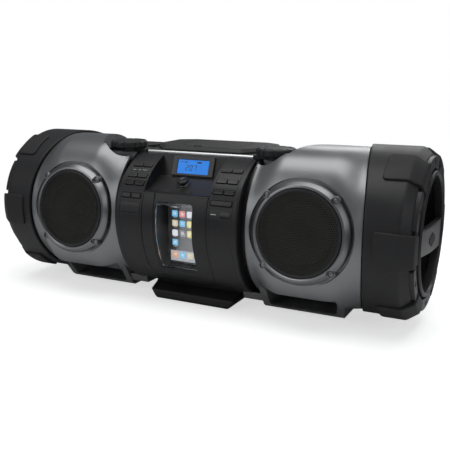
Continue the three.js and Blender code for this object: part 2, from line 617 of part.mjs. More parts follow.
const board = toSolid(box(-80, 80, -10, 30, 58, 60)).add(toSolid(box(-70, -20, -8, 28, 20, 58.5)));
place('main_board', board, 'board');

export default object;
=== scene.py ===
import math

import bmesh
import bpy
import numpy as np
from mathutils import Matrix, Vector


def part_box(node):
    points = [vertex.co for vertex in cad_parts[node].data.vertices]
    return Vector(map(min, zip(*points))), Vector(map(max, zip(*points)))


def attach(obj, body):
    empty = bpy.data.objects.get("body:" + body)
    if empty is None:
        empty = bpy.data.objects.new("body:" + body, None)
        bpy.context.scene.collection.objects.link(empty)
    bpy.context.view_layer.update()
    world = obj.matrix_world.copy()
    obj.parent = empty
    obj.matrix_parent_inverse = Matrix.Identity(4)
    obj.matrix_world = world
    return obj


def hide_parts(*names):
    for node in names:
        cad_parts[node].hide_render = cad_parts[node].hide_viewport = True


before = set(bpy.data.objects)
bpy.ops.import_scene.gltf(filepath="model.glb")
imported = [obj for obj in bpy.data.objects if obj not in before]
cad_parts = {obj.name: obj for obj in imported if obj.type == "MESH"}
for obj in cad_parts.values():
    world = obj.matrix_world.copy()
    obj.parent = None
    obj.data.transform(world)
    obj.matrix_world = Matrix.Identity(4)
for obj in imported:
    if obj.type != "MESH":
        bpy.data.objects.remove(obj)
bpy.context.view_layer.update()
print("stage: frame loaded")

# Every length below is in millimetres from the tube's axis: x along it, y to the back, z up
unit = 0.001
drumLow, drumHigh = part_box("right_end_drum")
axisPoint = np.array([0, (drumLow.y + drumHigh.y) / 2, (drumLow.z + drumHigh.z) / 2])
fullTurn = 2 * math.pi


# Outlines

# Each corner (u, v, radius) gives way to an arc that touches both of its sides
def rounded(corners, steps=6, closed=True):
    points = np.array([corner[:2] for corner in corners], float)
    count, parts = len(points), []
    for i in range(count):
        radius = corners[i][2] if len(corners[i]) > 2 else 0
        if radius <= 0 or (not closed and i in (0, count - 1)):
            parts.append(points[i][None])
            continue
        back, ahead = points[i - 1] - points[i], points[(i + 1) % count] - points[i]
        backLength, aheadLength = np.linalg.norm(back), np.linalg.norm(ahead)
        back, ahead = back / backLength, ahead / aheadLength
        half = math.acos(np.clip(back @ ahead, -1, 1)) / 2
        if half > 1.55:
            parts.append(points[i][None])
            continue
        reach = min(radius / math.tan(half), 0.48 * backLength, 0.48 * aheadLength)
        middle = (back + ahead) / np.linalg.norm(back + ahead) * reach / math.cos(half)
        start, end = back * reach - middle, ahead * reach - middle
        sweep, t = math.pi - 2 * half, np.linspace(0, 1, steps + 1)[:, None]
        swing = (np.sin((1 - t) * sweep) * start + np.sin(t * sweep) * end) / math.sin(sweep)
        parts.append(points[i] + middle + swing)
    return np.vstack(parts)


# Points set evenly along a line of points, no further apart than the spacing
def evenly(points, spacing, closed=True):
    line = np.vstack([points, points[:1]]) if closed else points
    steps = np.maximum(1, np.ceil(np.linalg.norm(np.diff(line, axis=0), axis=1) / spacing)).astype(int)
    parts = [a + (b - a) * (np.arange(n) / n)[:, None] for a, b, n in zip(line[:-1], line[1:], steps)]
    return np.vstack(parts + ([] if closed else [line[-1:]]))


# A closed outline moved outwards: each point goes along the mean of its two sides' normals
def grown(outline, distance):
    ahead = np.roll(outline, -1, 0) - outline
    ahead /= np.linalg.norm(ahead, axis=1)[:, None] + 1e-12
    back = np.roll(ahead, 1, 0)
    mean = ahead + back
    mean /= np.linalg.norm(mean, axis=1)[:, None] + 1e-12
    stretch = np.clip((mean * ahead).sum(1), 0.4, 1)[:, None]
    area = (outline[:, 0] * np.roll(outline[:, 1], -1) - np.roll(outline[:, 0], -1) * outline[:, 1]).sum()
    side = np.c_[mean[:, 1], -mean[:, 0]] * (1 if area > 0 else -1)
    return outline + side * distance / stretch


def oblong(wide, tall, radius, middle=(0, 0), spacing=1.5):
    u, v = wide / 2, tall / 2
    corners = [(-u, -v, radius), (u, -v, radius), (u, v, radius), (-u, v, radius)]
    return evenly(rounded(corners), spacing) + np.array(middle)


def circle(radius, count=48, middle=(0, 0)):
    t = np.arange(count) * fullTurn / count
    return np.c_[radius * np.cos(t), radius * np.sin(t)] + np.array(middle)


# (inset, height) steps of a side wall whose top edge is a quarter circle
def softEdge(low, high, radius, steps=4):
    t = np.linspace(0, math.pi / 2, steps + 1)
    return [(0, low)] + [(radius * (1 - math.cos(a)), high - radius * (1 - math.sin(a))) for a in t]


# Surfaces

# A sheet of points, rows by columns, joined into four-sided faces
def sheetOf(points, mark=0, closeRows=False, closeColumns=True):
    index = np.arange(points.shape[0] * points.shape[1]).reshape(points.shape[:2])
    if closeRows:
        index = np.vstack([index, index[:1]])
    if closeColumns:
        index = np.hstack([index, index[:, :1]])
    faces = np.stack([index[:-1, :-1], index[:-1, 1:], index[1:, 1:], index[1:, :-1]], -1).reshape(-1, 4)
    return {"points": points.reshape(-1, 3), "faces": faces, "marks": np.full(len(faces), mark)}


def together(*shapes):
    shapes = [s for s in shapes if s is not None]
    starts = np.cumsum([0] + [len(s["points"]) for s in shapes[:-1]])
    return {
        "points": np.vstack([s["points"] for s in shapes]),
        "faces": np.vstack([s["faces"] + n for s, n in zip(shapes, starts)]),
        "marks": np.concatenate([s["marks"] for s in shapes]),
    }


def mirrored(shape):
    return {**shape, "points": shape["points"] * np.array([-1, 1, 1])}


def flatPlace(u, v, h):
    return np.stack([u, v, h], -1)


# An outline carried up a list of (inset, height), closed at both ends by rings that shrink
# to its middle; place turns (u, v, height) into a point
def padOf(outline, edge, place=flatPlace, rings=(0.96, 0.5, 0), mark=0, topMark=None):
    rows = [np.c_[grown(outline, -inset), np.full(len(outline), height)] for inset, height in edge]
    middle = outline.mean(0)
    bottom = [np.c_[middle + (rows[0][:, :2] - middle) * f, rows[0][:, 2]] for f in reversed(rings)]
    top = [np.c_[middle + (rows[-1][:, :2] - middle) * f, rows[-1][:, 2]] for f in rings]
    grid = np.stack(bottom + rows + top)
    shape = sheetOf(place(grid[..., 0], grid[..., 1], grid[..., 2]), mark)
    if topMark is not None:
        shape["marks"][(len(bottom) + len(rows) - 1) * len(outline):] = topMark
    return shape


# A (radius, height) profile turned about an axis; one that doesn't start and end on the axis closes on itself
def turned(profile, count=96, place=flatPlace, mark=0, marks=None):
    profile = np.asarray(profile, float)
    t = np.arange(count) * fullTurn / count
    r, h = profile[:, :1], profile[:, 1:2]
    grid = place(r * np.cos(t), r * np.sin(t), h + 0 * t)
    onAxis = abs(profile[0, 0]) < 1e-6 and abs(profile[-1, 0]) < 1e-6
    shape = sheetOf(grid, mark, closeRows=not onAxis)
    if marks is not None:
        shape["marks"] = np.repeat(np.asarray(marks), count)
    return shape


# A loop of (u, v) points carried in a straight line; the two ends close on the loop's middle
def bar(outline, start, end, place=flatPlace, mark=0):
    return padOf(outline, [(0, start), (0, end)], place, (0.5, 0), mark)


def block(x0, x1, y0, y1, z0, z1, mark=0):
    corners = np.array([[x0, y0], [x1, y0], [x1, y1], [x0, y1]], float)
    return bar(corners, z0, z1, mark=mark)


# A small loop carried along a path of points, its ends drawn to a point
def beadOf(path, radius, mark=0, count=8):
    path = np.asarray(path, float)
    ahead = np.gradient(path, axis=0)
    ahead /= np.linalg.norm(ahead, axis=1)[:, None]
    side = np.cross(ahead, [0.13, 0.21, 0.97])
    side /= np.linalg.norm(side, axis=1)[:, None]
    other = np.cross(ahead, side)
    t = np.arange(count) * fullTurn / count
    rings = path[:, None] + radius * (side[:, None] * np.cos(t)[:, None]
                                      + other[:, None] * np.sin(t)[:, None])
    ends = [np.repeat(path[:1, None], count, 1), np.repeat(path[-1:, None], count, 1)]
    return sheetOf(np.concatenate([ends[0], rings, ends[1]]), mark)


# Places: turn (u, v, height) into a point

def alongX(u, v, h):
    return np.stack([h, u, v], -1)


def alongY(u, v, h):
    return np.stack([u, h, v], -1)


speaker = {"x": 182, "reach": 117.5, "lift": 9.6, "tilt": math.radians(6.1), "hole": 71.5, "depth": 14}


# The front speaker's plane: u across, v up the plane, height out of the cabinet
def atSpeaker(u, v, h):
    c, s = math.cos(speaker["tilt"]), math.sin(speaker["tilt"])
    return np.stack([speaker["x"] + u, -speaker["reach"] + v * s - h * c, speaker["lift"] + v * c + h * s],
                    -1)


# Meshes

# A mesh as it comes, with every shared point still doubled
def rawMesh(name, shape):
    points, faces = shape["points"] * unit + axisPoint, shape["faces"]
    mesh = bpy.data.meshes.new(name)
    mesh.vertices.add(len(points))
    mesh.vertices.foreach_set("co", points.astype(np.float32).ravel())
    mesh.loops.add(faces.size)
    mesh.loops.foreach_set("vertex_index", faces.astype(np.int32).ravel())
    mesh.polygons.add(len(faces))
    mesh.polygons.foreach_set("loop_start", np.arange(0, faces.size, 4, dtype=np.int32))
    mesh.polygons.foreach_set("material_index", shape["marks"].astype(np.int32))
    mesh.update(calc_edges=True)
    return mesh


# Points that meet become one, and every face turns outwards
def welded(mesh):
    tidy = bmesh.new()
    tidy.from_mesh(mesh)
    bmesh.ops.remove_doubles(tidy, verts=tidy.verts, dist=2e-6)
    bmesh.ops.recalc_face_normals(tidy, faces=tidy.faces)
    tidy.to_mesh(mesh)
    tidy.free()
    return mesh


def meshOf(name, shape):
    return welded(rawMesh(name, shape))


def objectOf(name, shape):
    obj = bpy.data.objects.new(name, shape if isinstance(shape, bpy.types.Mesh) else meshOf(name, shape))
    bpy.context.scene.collection.objects.link(obj)
    return obj


# One solid joined with, cut by or kept inside another
def combined(mesh, tool, how):
    a, b = objectOf("a", mesh), objectOf("b", tool)
    for obj in (a, b):
        while len(obj.data.materials) < 4:
            obj.data.materials.append(None)
    change = a.modifiers.new("combine", "BOOLEAN")
    change.object, change.operation, change.solver = b, how, "MANIFOLD"
    bpy.context.view_layer.update()
    result = bpy.data.meshes.new_from_object(a.evaluated_get(bpy.context.evaluated_depsgraph_get()))
    for obj in (a, b):
        bpy.data.objects.remove(obj)
    return result


# The mirror image in x of a mesh
def flipped(mesh):
    copy = mesh.copy()
    flip = bmesh.new()
    flip.from_mesh(copy)
    for vertex in flip.verts:
        vertex.co.x = -vertex.co.x
    bmesh.ops.reverse_faces(flip, faces=flip.faces)
    flip.to_mesh(copy)
    flip.free()
    return copy


def piece(name, shape, materials, body, nodes=(), slot=None, crease=32):
    mesh = shape if isinstance(shape, bpy.types.Mesh) else meshOf(name, shape)
    obj = objectOf(name, mesh)
    obj.name = name
    mesh.materials.clear()
    for material in materials if isinstance(materials, (list, tuple)) else [materials]:
        mesh.materials.append(material)
    mesh.shade_smooth()
    mesh.set_sharp_from_angle(angle=math.radians(crease))
    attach(obj, body)
    if nodes:
        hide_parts(*([nodes] if isinstance(nodes, str) else nodes))
    return obj


# The right-hand piece as given, and its mirror image on the left
def bothSides(name, shape, materials, node=None, slot=None, body="cabinet", **more):
    left = flipped(shape) if isinstance(shape, bpy.types.Mesh) else mirrored(shape)
    for side, made in (("left", left), ("right", shape)):
        nodes = [f"{side}_{node}"] if node else []
        piece(f"{side}{name}", made, materials, body if body == "cabinet" else f"{side}_{body}", nodes, slot,
              **more)


# Effects that the materials share

def put(tree, kind, links=None, **values):
    node = tree.nodes.new("ShaderNode" + kind)
    for key, value in values.items():
        setattr(node, key, value)
    for socket, source in (links or {}).items():
        if isinstance(source, bpy.types.NodeSocket):
            tree.links.new(source, node.inputs[socket])
        else:
            node.inputs[socket].default_value = source
    return node


def groupOf(name, inputs, outputs):
    tree = bpy.data.node_groups.new(name, "ShaderNodeTree")
    for label, value in inputs.items():
        tree.interface.new_socket(label, in_out="INPUT", socket_type="NodeSocketFloat").default_value = value
    for label in outputs:
        tree.interface.new_socket(label, in_out="OUTPUT", socket_type="NodeSocketFloat")
    return tree, tree.nodes.new("NodeGroupInput").outputs, tree.nodes.new("NodeGroupOutput").inputs


def makeGrain():
    # Moulded surface: small round cells roughened by a finer noise
    tree, into, out = groupOf("mouldedGrain", {"Scale": 900.0}, ["Height"])
    where = put(tree, "TexCoord").outputs["Object"]
    cells = put(tree, "TexVoronoi", {"Vector": where, "Scale": into["Scale"]}, feature="SMOOTH_F1")
    twice = put(tree, "Math", {0: into["Scale"], 1: 2.3}, operation="MULTIPLY")
    noise = put(tree, "TexNoise", {"Vector": where, "Scale": twice.outputs[0], "Detail": 3.0})
    both = put(tree, "Math", {0: cells.outputs["Distance"], 1: noise.outputs["Fac"]}, operation="ADD")
    tree.links.new(both.outputs[0], out["Height"])
    return tree


def makeHandling():
    # Slow changes of gloss and tone over a palm's width, with fine streaks
    tree, into, out = groupOf("handling", {"Scale": 16.0}, ["Value", "Fine"])
    where = put(tree, "TexCoord").outputs["Object"]
    slow = put(tree, "TexNoise", {"Vector": where, "Scale": into["Scale"], "Detail": 4.0, "Roughness": 0.6})
    spread = put(tree, "MapRange", {"Value": slow.outputs["Fac"], "From Min": 0.3, "From Max": 0.7})
    fine = put(tree, "TexNoise", {"Vector": where, "Scale": 420.0, "Detail": 2.0})
    tree.links.new(spread.outputs[0], out["Value"])
    tree.links.new(fine.outputs["Fac"], out["Fine"])
    return tree


def makeEdgeWear():
    # Sharp outward edges, broken up by noise
    tree, into, out = groupOf("edgeWear", {"Amount": 0.5}, ["Mask"])
    sharp = put(tree, "NewGeometry").outputs["Pointiness"]
    edge = put(tree, "MapRange", {"Value": sharp, "From Min": 0.56, "From Max": 0.66})
    where = put(tree, "TexCoord").outputs["Object"]
    noise = put(tree, "TexNoise", {"Vector": where, "Scale": 90.0, "Detail": 5.0})
    broken = put(tree, "MapRange", {"Value": noise.outputs["Fac"], "From Min": 0.42, "From Max": 0.62})
    both = put(tree, "Math", {0: edge.outputs[0], 1: broken.outputs[0]}, operation="MULTIPLY")
    scaled = put(tree, "Math", {0: both.outputs[0], 1: into["Amount"]}, operation="MULTIPLY")
    tree.links.new(scaled.outputs[0], out["Mask"])
    return tree


def makeDust():
    # Upward faces gather a thin uneven film
    tree, into, out = groupOf("dustFilm", {"Amount": 0.1}, ["Mask"])
    up = put(tree, "SeparateXYZ", {0: put(tree, "NewGeometry").outputs["Normal"]}).outputs["Z"]
    flat = put(tree, "MapRange", {"Value": up, "From Min": 0.5, "From Max": 1.0})
    where = put(tree, "TexCoord").outputs["Object"]
    noise = put(tree, "TexNoise", {"Vector": where, "Scale": 55.0, "Detail": 6.0, "Roughness": 0.7})
    both = put(tree, "Math", {0: flat.outputs[0], 1: noise.outputs["Fac"]}, operation="MULTIPLY")
    scaled = put(tree, "Math", {0: both.outputs[0], 1: into["Amount"]}, operation="MULTIPLY")
    tree.links.new(scaled.outputs[0], out["Mask"])
    return tree


def makeHoles():
    # Round holes in a honeycomb: the nearer of two rectangular lattices set half a step apart
    tree, into, out = groupOf("roundHoles", {"Pitch": 0.0032, "Hole": 0.0013}, ["Open", "Rim"])
    where = put(tree, "TexCoord").outputs["Object"]
    turn = put(tree, "Mapping", {"Vector": where, "Rotation": (-speaker["tilt"], 0, 0)})
    cell = put(tree, "CombineXYZ", {"X": into["Pitch"], "Z": 1.0, "Y": 1.0})
    tall = put(tree, "Math", {0: into["Pitch"], 1: math.sqrt(3)}, operation="MULTIPLY")
    tree.links.new(tall.outputs[0], cell.inputs["Z"])
    scaled = put(tree, "VectorMath", {0: turn.outputs[0], 1: cell.outputs[0]}, operation="DIVIDE")
    distances = []
    for half in (0.0, 0.5):
        moved = put(tree, "VectorMath", {0: scaled.outputs[0], 1: (half, 0, half)}, operation="ADD")
        part = put(tree, "VectorMath", {0: moved.outputs[0]}, operation="FRACTION")
        centred = put(tree, "VectorMath", {0: part.outputs[0], 1: (-0.5, -0.5, -0.5)}, operation="ADD")
        real = put(tree, "VectorMath", {0: centred.outputs[0], 1: cell.outputs[0]}, operation="MULTIPLY")
        level = put(tree, "VectorMath", {0: real.outputs[0], 1: (1, 0, 1)}, operation="MULTIPLY")
        distances.append(put(tree, "VectorMath", {0: level.outputs[0]}, operation="LENGTH").outputs["Value"])
    near = put(tree, "Math", {0: distances[0], 1: distances[1]}, operation="MINIMUM")
    gap = put(tree, "Math", {0: near.outputs[0], 1: into["Hole"]}, operation="LESS_THAN")
    wider = put(tree, "Math", {0: into["Hole"], 1: 1.25}, operation="MULTIPLY")
    rim = put(tree, "MapRange", {"Value": near.outputs[0], "From Max": wider.outputs[0]})
    tree.links.new(into["Hole"], rim.inputs["From Min"])
    tree.links.new(gap.outputs[0], out["Open"])
    tree.links.new(rim.outputs[0], out["Rim"])
    return tree


effects = {"grain": makeGrain(), "handling": makeHandling(), "wear": makeEdgeWear(), "dust": makeDust(),
           "holes": makeHoles()}


def useGroup(tree, name, **values):
    node = tree.nodes.new("ShaderNodeGroup")
    node.node_tree = effects[name]
    for label, value in values.items():
        node.inputs[label].default_value = value
    return node.outputs


def colourMix(tree, amount, first, second):
    node = put(tree, "Mix", data_type="RGBA")
    for slot, value in ((0, amount), (6, first), (7, second)):
        if isinstance(value, bpy.types.NodeSocket):
            tree.links.new(value, node.inputs[slot])
        else:
            node.inputs[slot].default_value = value if slot == 0 else (*value, 1)
    return node.outputs[2]


# A finish: two close tones, a spread of roughness, a moulded grain, worn edges and a little dust
def finishOf(name, tones, rough, grain=(900, 0.00004), metal=0.0, wear=0.35, worn=(0.10, 0.10, 0.10),
             dust=0.05, coat=0.0, specular=0.5, handling=16.0):
    material = bpy.data.materials.new(name)
    material.use_nodes = True
    tree = material.node_tree
    shader = tree.nodes["Principled BSDF"]
    hand = useGroup(tree, "handling", Scale=handling)
    colour = colourMix(tree, hand["Value"], *tones)
    colour = colourMix(tree, useGroup(tree, "wear", Amount=wear)["Mask"], colour, worn)
    colour = colourMix(tree, useGroup(tree, "dust", Amount=dust)["Mask"], colour, (0.24, 0.235, 0.22))
    gloss = put(tree, "MapRange", {"Value": hand["Value"], "To Min": rough[0], "To Max": rough[1]})
    bump = put(tree, "Bump", {"Height": useGroup(tree, "grain", Scale=grain[0])["Height"],
                              "Distance": grain[1], "Strength": 0.6})
    tree.links.new(colour, shader.inputs["Base Color"])
    tree.links.new(gloss.outputs[0], shader.inputs["Roughness"])
    tree.links.new(bump.outputs[0], shader.inputs["Normal"])
    shader.inputs["Metallic"].default_value = metal
    shader.inputs["Specular IOR Level"].default_value = specular
    shader.inputs["Coat Weight"].default_value = coat
    shader.inputs["Coat Roughness"].default_value = 0.18
    return material


def silverFinish():
    # Metallic paint: flakes of slightly different tone under a thin lacquer
    material = finishOf("silverPaint", [(0.27, 0.275, 0.28), (0.31, 0.315, 0.32)], (0.33, 0.40),
                        (1500, 0.00002),
                        metal=0.8, worn=(0.36, 0.36, 0.36), dust=0.03, coat=0.05)
    tree = material.node_tree
    where = put(tree, "TexCoord").outputs["Object"]
    flake = put(tree, "TexVoronoi", {"Vector": where, "Scale": 2600.0})
    tone = put(tree, "SeparateColor", {0: flake.outputs["Color"]}).outputs[0]
    mask = put(tree, "MapRange", {"Value": tone, "From Min": 0.7, "From Max": 1.0, "To Max": 0.25})
    shader = tree.nodes["Principled BSDF"]
    before = shader.inputs["Base Color"].links[0].from_socket
    tree.links.new(colourMix(tree, mask.outputs[0], before, (0.45, 0.46, 0.47)), shader.inputs["Base Color"])
    return material


def meshFinish(name, tones):
    material = finishOf(name, tones, (0.38, 0.5), (1800, 0.00002),
                        metal=0.5, worn=(0.2, 0.2, 0.19), dust=0.05)
    tree, holes = material.node_tree, useGroup(material.node_tree, "holes")
    shader = tree.nodes["Principled BSDF"]
    solid = put(tree, "Math", {0: 1.0, 1: holes["Open"]}, operation="SUBTRACT")
    tree.links.new(solid.outputs[0], shader.inputs["Alpha"])
    bump = shader.inputs["Normal"].links[0].from_node
    tree.links.new(holes["Rim"], bump.inputs["Height"])
    bump.inputs["Distance"].default_value = 0.0002
    return material


def glowFinish(name, tones, glow, strength, rough):
    # A lit panel, its glow shifting slowly between two close tones
    material = finishOf(name, tones, rough, (1200, 0.000005), wear=0, dust=0.02)
    tree = material.node_tree
    shader = tree.nodes["Principled BSDF"]
    hand = useGroup(tree, "handling", Scale=30.0)
    tree.links.new(colourMix(tree, hand["Value"], *glow), shader.inputs["Emission Color"])
    shader.inputs["Emission Strength"].default_value = strength
    return material


def glassFinish(name, tint, rough):
    material = bpy.data.materials.new(name)
    material.use_nodes = True
    tree = material.node_tree
    shader = tree.nodes["Principled BSDF"]
    hand = useGroup(tree, "handling", Scale=24.0)
    gloss = put(tree, "MapRange", {"Value": hand["Value"], "To Min": rough[0], "To Max": rough[1]})
    tree.links.new(gloss.outputs[0], shader.inputs["Roughness"])
    tree.links.new(colourMix(tree, hand["Fine"], tint, [c * 0.96 for c in tint]), shader.inputs["Base Color"])
    shader.inputs["Transmission Weight"].default_value = 1.0
    shader.inputs["IOR"].default_value = 1.25
    return material


def tileFinish():
    # The little pictures keep their own colours in an attribute of the mesh
    material = finishOf("screenTiles", [(0.5, 0.5, 0.5), (0.6, 0.6, 0.6)], (0.2, 0.3), (1400, 0.000005),
                        wear=0, dust=0)
    tree = material.node_tree
    shader = tree.nodes["Principled BSDF"]
    colour = put(tree, "Attribute", attribute_name="tileColour").outputs["Color"]
    fine = useGroup(tree, "handling", Scale=260.0)
    shade = colourMix(tree, fine["Value"], colour, (0.9, 0.9, 0.9))
    shade.node.inputs[0].default_value = 0.12
    tree.links.new(shade, shader.inputs["Base Color"])
    tree.links.new(colour, shader.inputs["Emission Color"])
    shader.inputs["Emission Strength"].default_value = 0.75
    return material


silver = silverFinish()
satinBlack = finishOf("satinBlack", [(0.010, 0.010, 0.011), (0.015, 0.015, 0.016)], (0.36, 0.46))
softBlack = finishOf("softBlack", [(0.010, 0.010, 0.011), (0.015, 0.015, 0.016)], (0.40, 0.52),
                     (700, 0.00007))
# Near-black taken by the cut walls of holes, slots, grooves and recesses all through the object: painted
# shade in those hollows; on the inlet socket body it is the plain black of the part
blackAndRecessShade = finishOf("blackAndRecessShade", [(0.006, 0.006, 0.006), (0.010, 0.010, 0.010)], (0.5, 0.65), wear=0.1,
                     dust=0.03)
rubber = finishOf("rubber", [(0.013, 0.013, 0.014), (0.019, 0.019, 0.020)], (0.50, 0.66), (520, 0.00010))
deckGrey = finishOf("deckGrey", [(0.026, 0.026, 0.025), (0.034, 0.034, 0.033)], (0.42, 0.55), (650, 0.00010),
                    metal=0.2)
scoopGrey = finishOf("scoopGrey", [(0.050, 0.050, 0.050), (0.062, 0.062, 0.062)], (0.38, 0.5),
                     (700, 0.00006), metal=0.3)
frameGrey = finishOf("frameGrey", [(0.16, 0.16, 0.16), (0.20, 0.20, 0.198)], (0.42, 0.55), (620, 0.00012),
                     metal=0.45)
stripGrey = finishOf("stripGrey", [(0.022, 0.022, 0.023), (0.030, 0.030, 0.031)], (0.34, 0.44),
                     (800, 0.00005), metal=0.15)
brightMetal = finishOf("brightMetal", [(0.24, 0.242, 0.246), (0.30, 0.302, 0.306)], (0.28, 0.36),
                       (1600, 0.00001),
                       metal=1.0, worn=(0.5, 0.5, 0.5), dust=0.03)
trimMetal = finishOf("trimMetal", [(0.60, 0.605, 0.61), (0.68, 0.685, 0.69)], (0.24, 0.34), (1600, 0.00001),
                     metal=0.9, worn=(0.7, 0.7, 0.7), dust=0.03)
steel = finishOf("steel", [(0.28, 0.28, 0.285), (0.36, 0.36, 0.365)], (0.28, 0.42), (1100, 0.00003),
                 metal=1.0, dust=0.04)
coneBlack = finishOf("conePaper", [(0.008, 0.008, 0.008), (0.014, 0.014, 0.014)], (0.6, 0.75),
                     (420, 0.00018), wear=0.1)
coneGrey = finishOf("coneSurround", [(0.34, 0.33, 0.30), (0.42, 0.41, 0.38)], (0.5, 0.6), (500, 0.00012),
                    wear=0.2)
grilleMesh = meshFinish("grilleMesh", [(0.050, 0.048, 0.043), (0.066, 0.064, 0.058)])
paleMesh = meshFinish("paleMesh", [(0.120, 0.116, 0.102), (0.150, 0.145, 0.128)])
buttonBlack = finishOf("buttonBlack", [(0.012, 0.012, 0.013), (0.018, 0.018, 0.019)], (0.28, 0.38),
                       (900, 0.00003))
printGrey = finishOf("printGrey", [(0.70, 0.71, 0.72), (0.78, 0.78, 0.79)], (0.35, 0.5), (900, 0.00001),
                     wear=0, dust=0.03)
lcdBlue = glowFinish("lcdBlue", [(0.0, 0.05, 0.16), (0.0, 0.08, 0.22)],
                     [(0.0, 0.13, 0.56), (0.0, 0.18, 0.68)], 0.95, (0.2, 0.3))
lcdInk = glowFinish("lcdInk", [(0.0, 0.01, 0.03), (0.0, 0.01, 0.04)], [(0.0, 0.02, 0.09), (0.0, 0.03, 0.12)],
                    0.3, (0.25, 0.35))
clearPane = glassFinish("clearPane", (0.95, 0.96, 0.97), (0.02, 0.06))
deviceMetal = finishOf("deviceMetal", [(0.50, 0.50, 0.50), (0.60, 0.60, 0.60)], (0.22, 0.34),
                       (1500, 0.00001), metal=0.9)
deviceGlass = finishOf("deviceGlass", [(0.010, 0.010, 0.011), (0.014, 0.014, 0.015)], (0.08, 0.16),
                       (1500, 0.000003), wear=0)
screenTiles = tileFinish()
pocketGrey = finishOf("pocketGrey", [(0.42, 0.42, 0.42), (0.50, 0.50, 0.50)], (0.30, 0.40), (1200, 0.00003),
                      metal=0.3)
board = finishOf("boardGreen", [(0.01, 0.07, 0.03), (0.015, 0.10, 0.04)], (0.3, 0.45), (900, 0.00004))
darkGlass = finishOf("darkGlass", [(0.006, 0.006, 0.007), (0.010, 0.010, 0.011)], (0.14, 0.22),
                     (1500, 0.000003), wear=0)
print("stage: materials made")


# Silver shells

shell = {
    "radius": 111,         # round part of the section
    "wall": 4,
    "squareness": 3.3,     # section exponent beside the speaker; 2 is a circle
    "inner": 104.05,       # end beside the control module
    "seam": 241.1,         # end beside the drum, at the axis plane
    "seamLean": 0.2036,    # further out at the front by this share of the distance
    "edge": 1.4,           # rounding of the two ends
}


def seamAt(y, gap=0.0):
    return shell["seam"] - shell["seamLean"] * y + gap


# The shell's distance from the axis: a circle whose front half swells towards a square near the speaker
def shellReach(x, angle):
    t = np.clip(1 - (np.abs(np.abs(x) - speaker["x"]) - 30) / 46, 0, 1)
    power = 2 + (shell["squareness"] - 2) * t * t * (3 - 2 * t)
    c, s = np.abs(np.cos(angle - speaker["tilt"])) + 1e-9, np.abs(np.sin(angle - speaker["tilt"])) + 1e-9
    grow = (c ** power + s ** power) ** (-1 / power)
    return shell["radius"] * np.where(np.cos(angle - speaker["tilt"]) > 0, grow, 1.0)


# Rows of (share of the length, shift along it, inset) turned round the section
def shellSheet(rows, count=220, start=None, mark=0, closeRows=True):
    angle = np.arange(count) * fullTurn / count
    seam = seamAt(-shell["radius"] * np.cos(angle))
    for _ in range(2):
        seam = seamAt(-shellReach(seam, angle) * np.cos(angle), -0.2)
    start = shell["inner"] if start is None else start
    share, shift, inset = (np.array(column, float)[:, None] for column in zip(*rows))
    seam = np.where(inset > 500, shell["seam"], seam)
    x = start + share * (seam - start) + shift
    r = np.maximum(0, shellReach(x, angle) - inset) * (inset < 500)
    return sheetOf(np.stack([x, -r * np.cos(angle), r * np.sin(angle)], -1), mark, closeRows)


def shellWall():
    e, wall = shell["edge"], shell["wall"]
    t = np.linspace(0, math.pi / 2, 5)
    near = [(0, e * (1 - math.cos(a)), e * (1 - math.sin(a))) for a in t]
    far = [(1, -shift, inset) for _, shift, inset in reversed(near)]
    middle = [(f, 0, 0) for f in np.linspace(0.03, 0.97, 56)]
    inside = [(f, 0, wall) for f in np.linspace(1, 0, 24)]
    return shellSheet(near + middle + far + inside)


def shellSolid(start, inset=0.0):
    rows = [(0, 0, 1000)] + [(f, 0, inset) for f in np.linspace(0, 1, 50)] + [(1, 0, 1000)]
    return shellSheet(rows, start=start, closeRows=False)


deck = {
    "floor": 91.4, "top": 96.0, "knobX": 121, "knobY": -45, "well": 61.5, "wellY": 23,
    "trimY": -42.8, "edge": 0.9,
}


# The flat top's outline seen from above, moved outwards by some distance
def deckOutline(grow, radius=6):
    corners = [(-150, -70, 1), (150, -70, 1), (187, 5, 26), (190, 64, radius), (-190, 64, radius),
               (-187, 5, 26)]
    return grown(evenly(rounded(corners), 4), grow)


def scoopTool(low, wide, mark=2):
    # A round dish under the knob's front, open at the top
    profile = [(0, low), (wide - 11, low), (wide - 5, low + 2.2), (wide - 1.5, low + 6), (wide, low + 12),
               (wide, 150), (0, 150)]
    place = lambda u, v, h: np.stack([deck["knobX"] + 3 + u, deck["knobY"] + v, h], -1)
    return turned(profile, 64, place, mark)


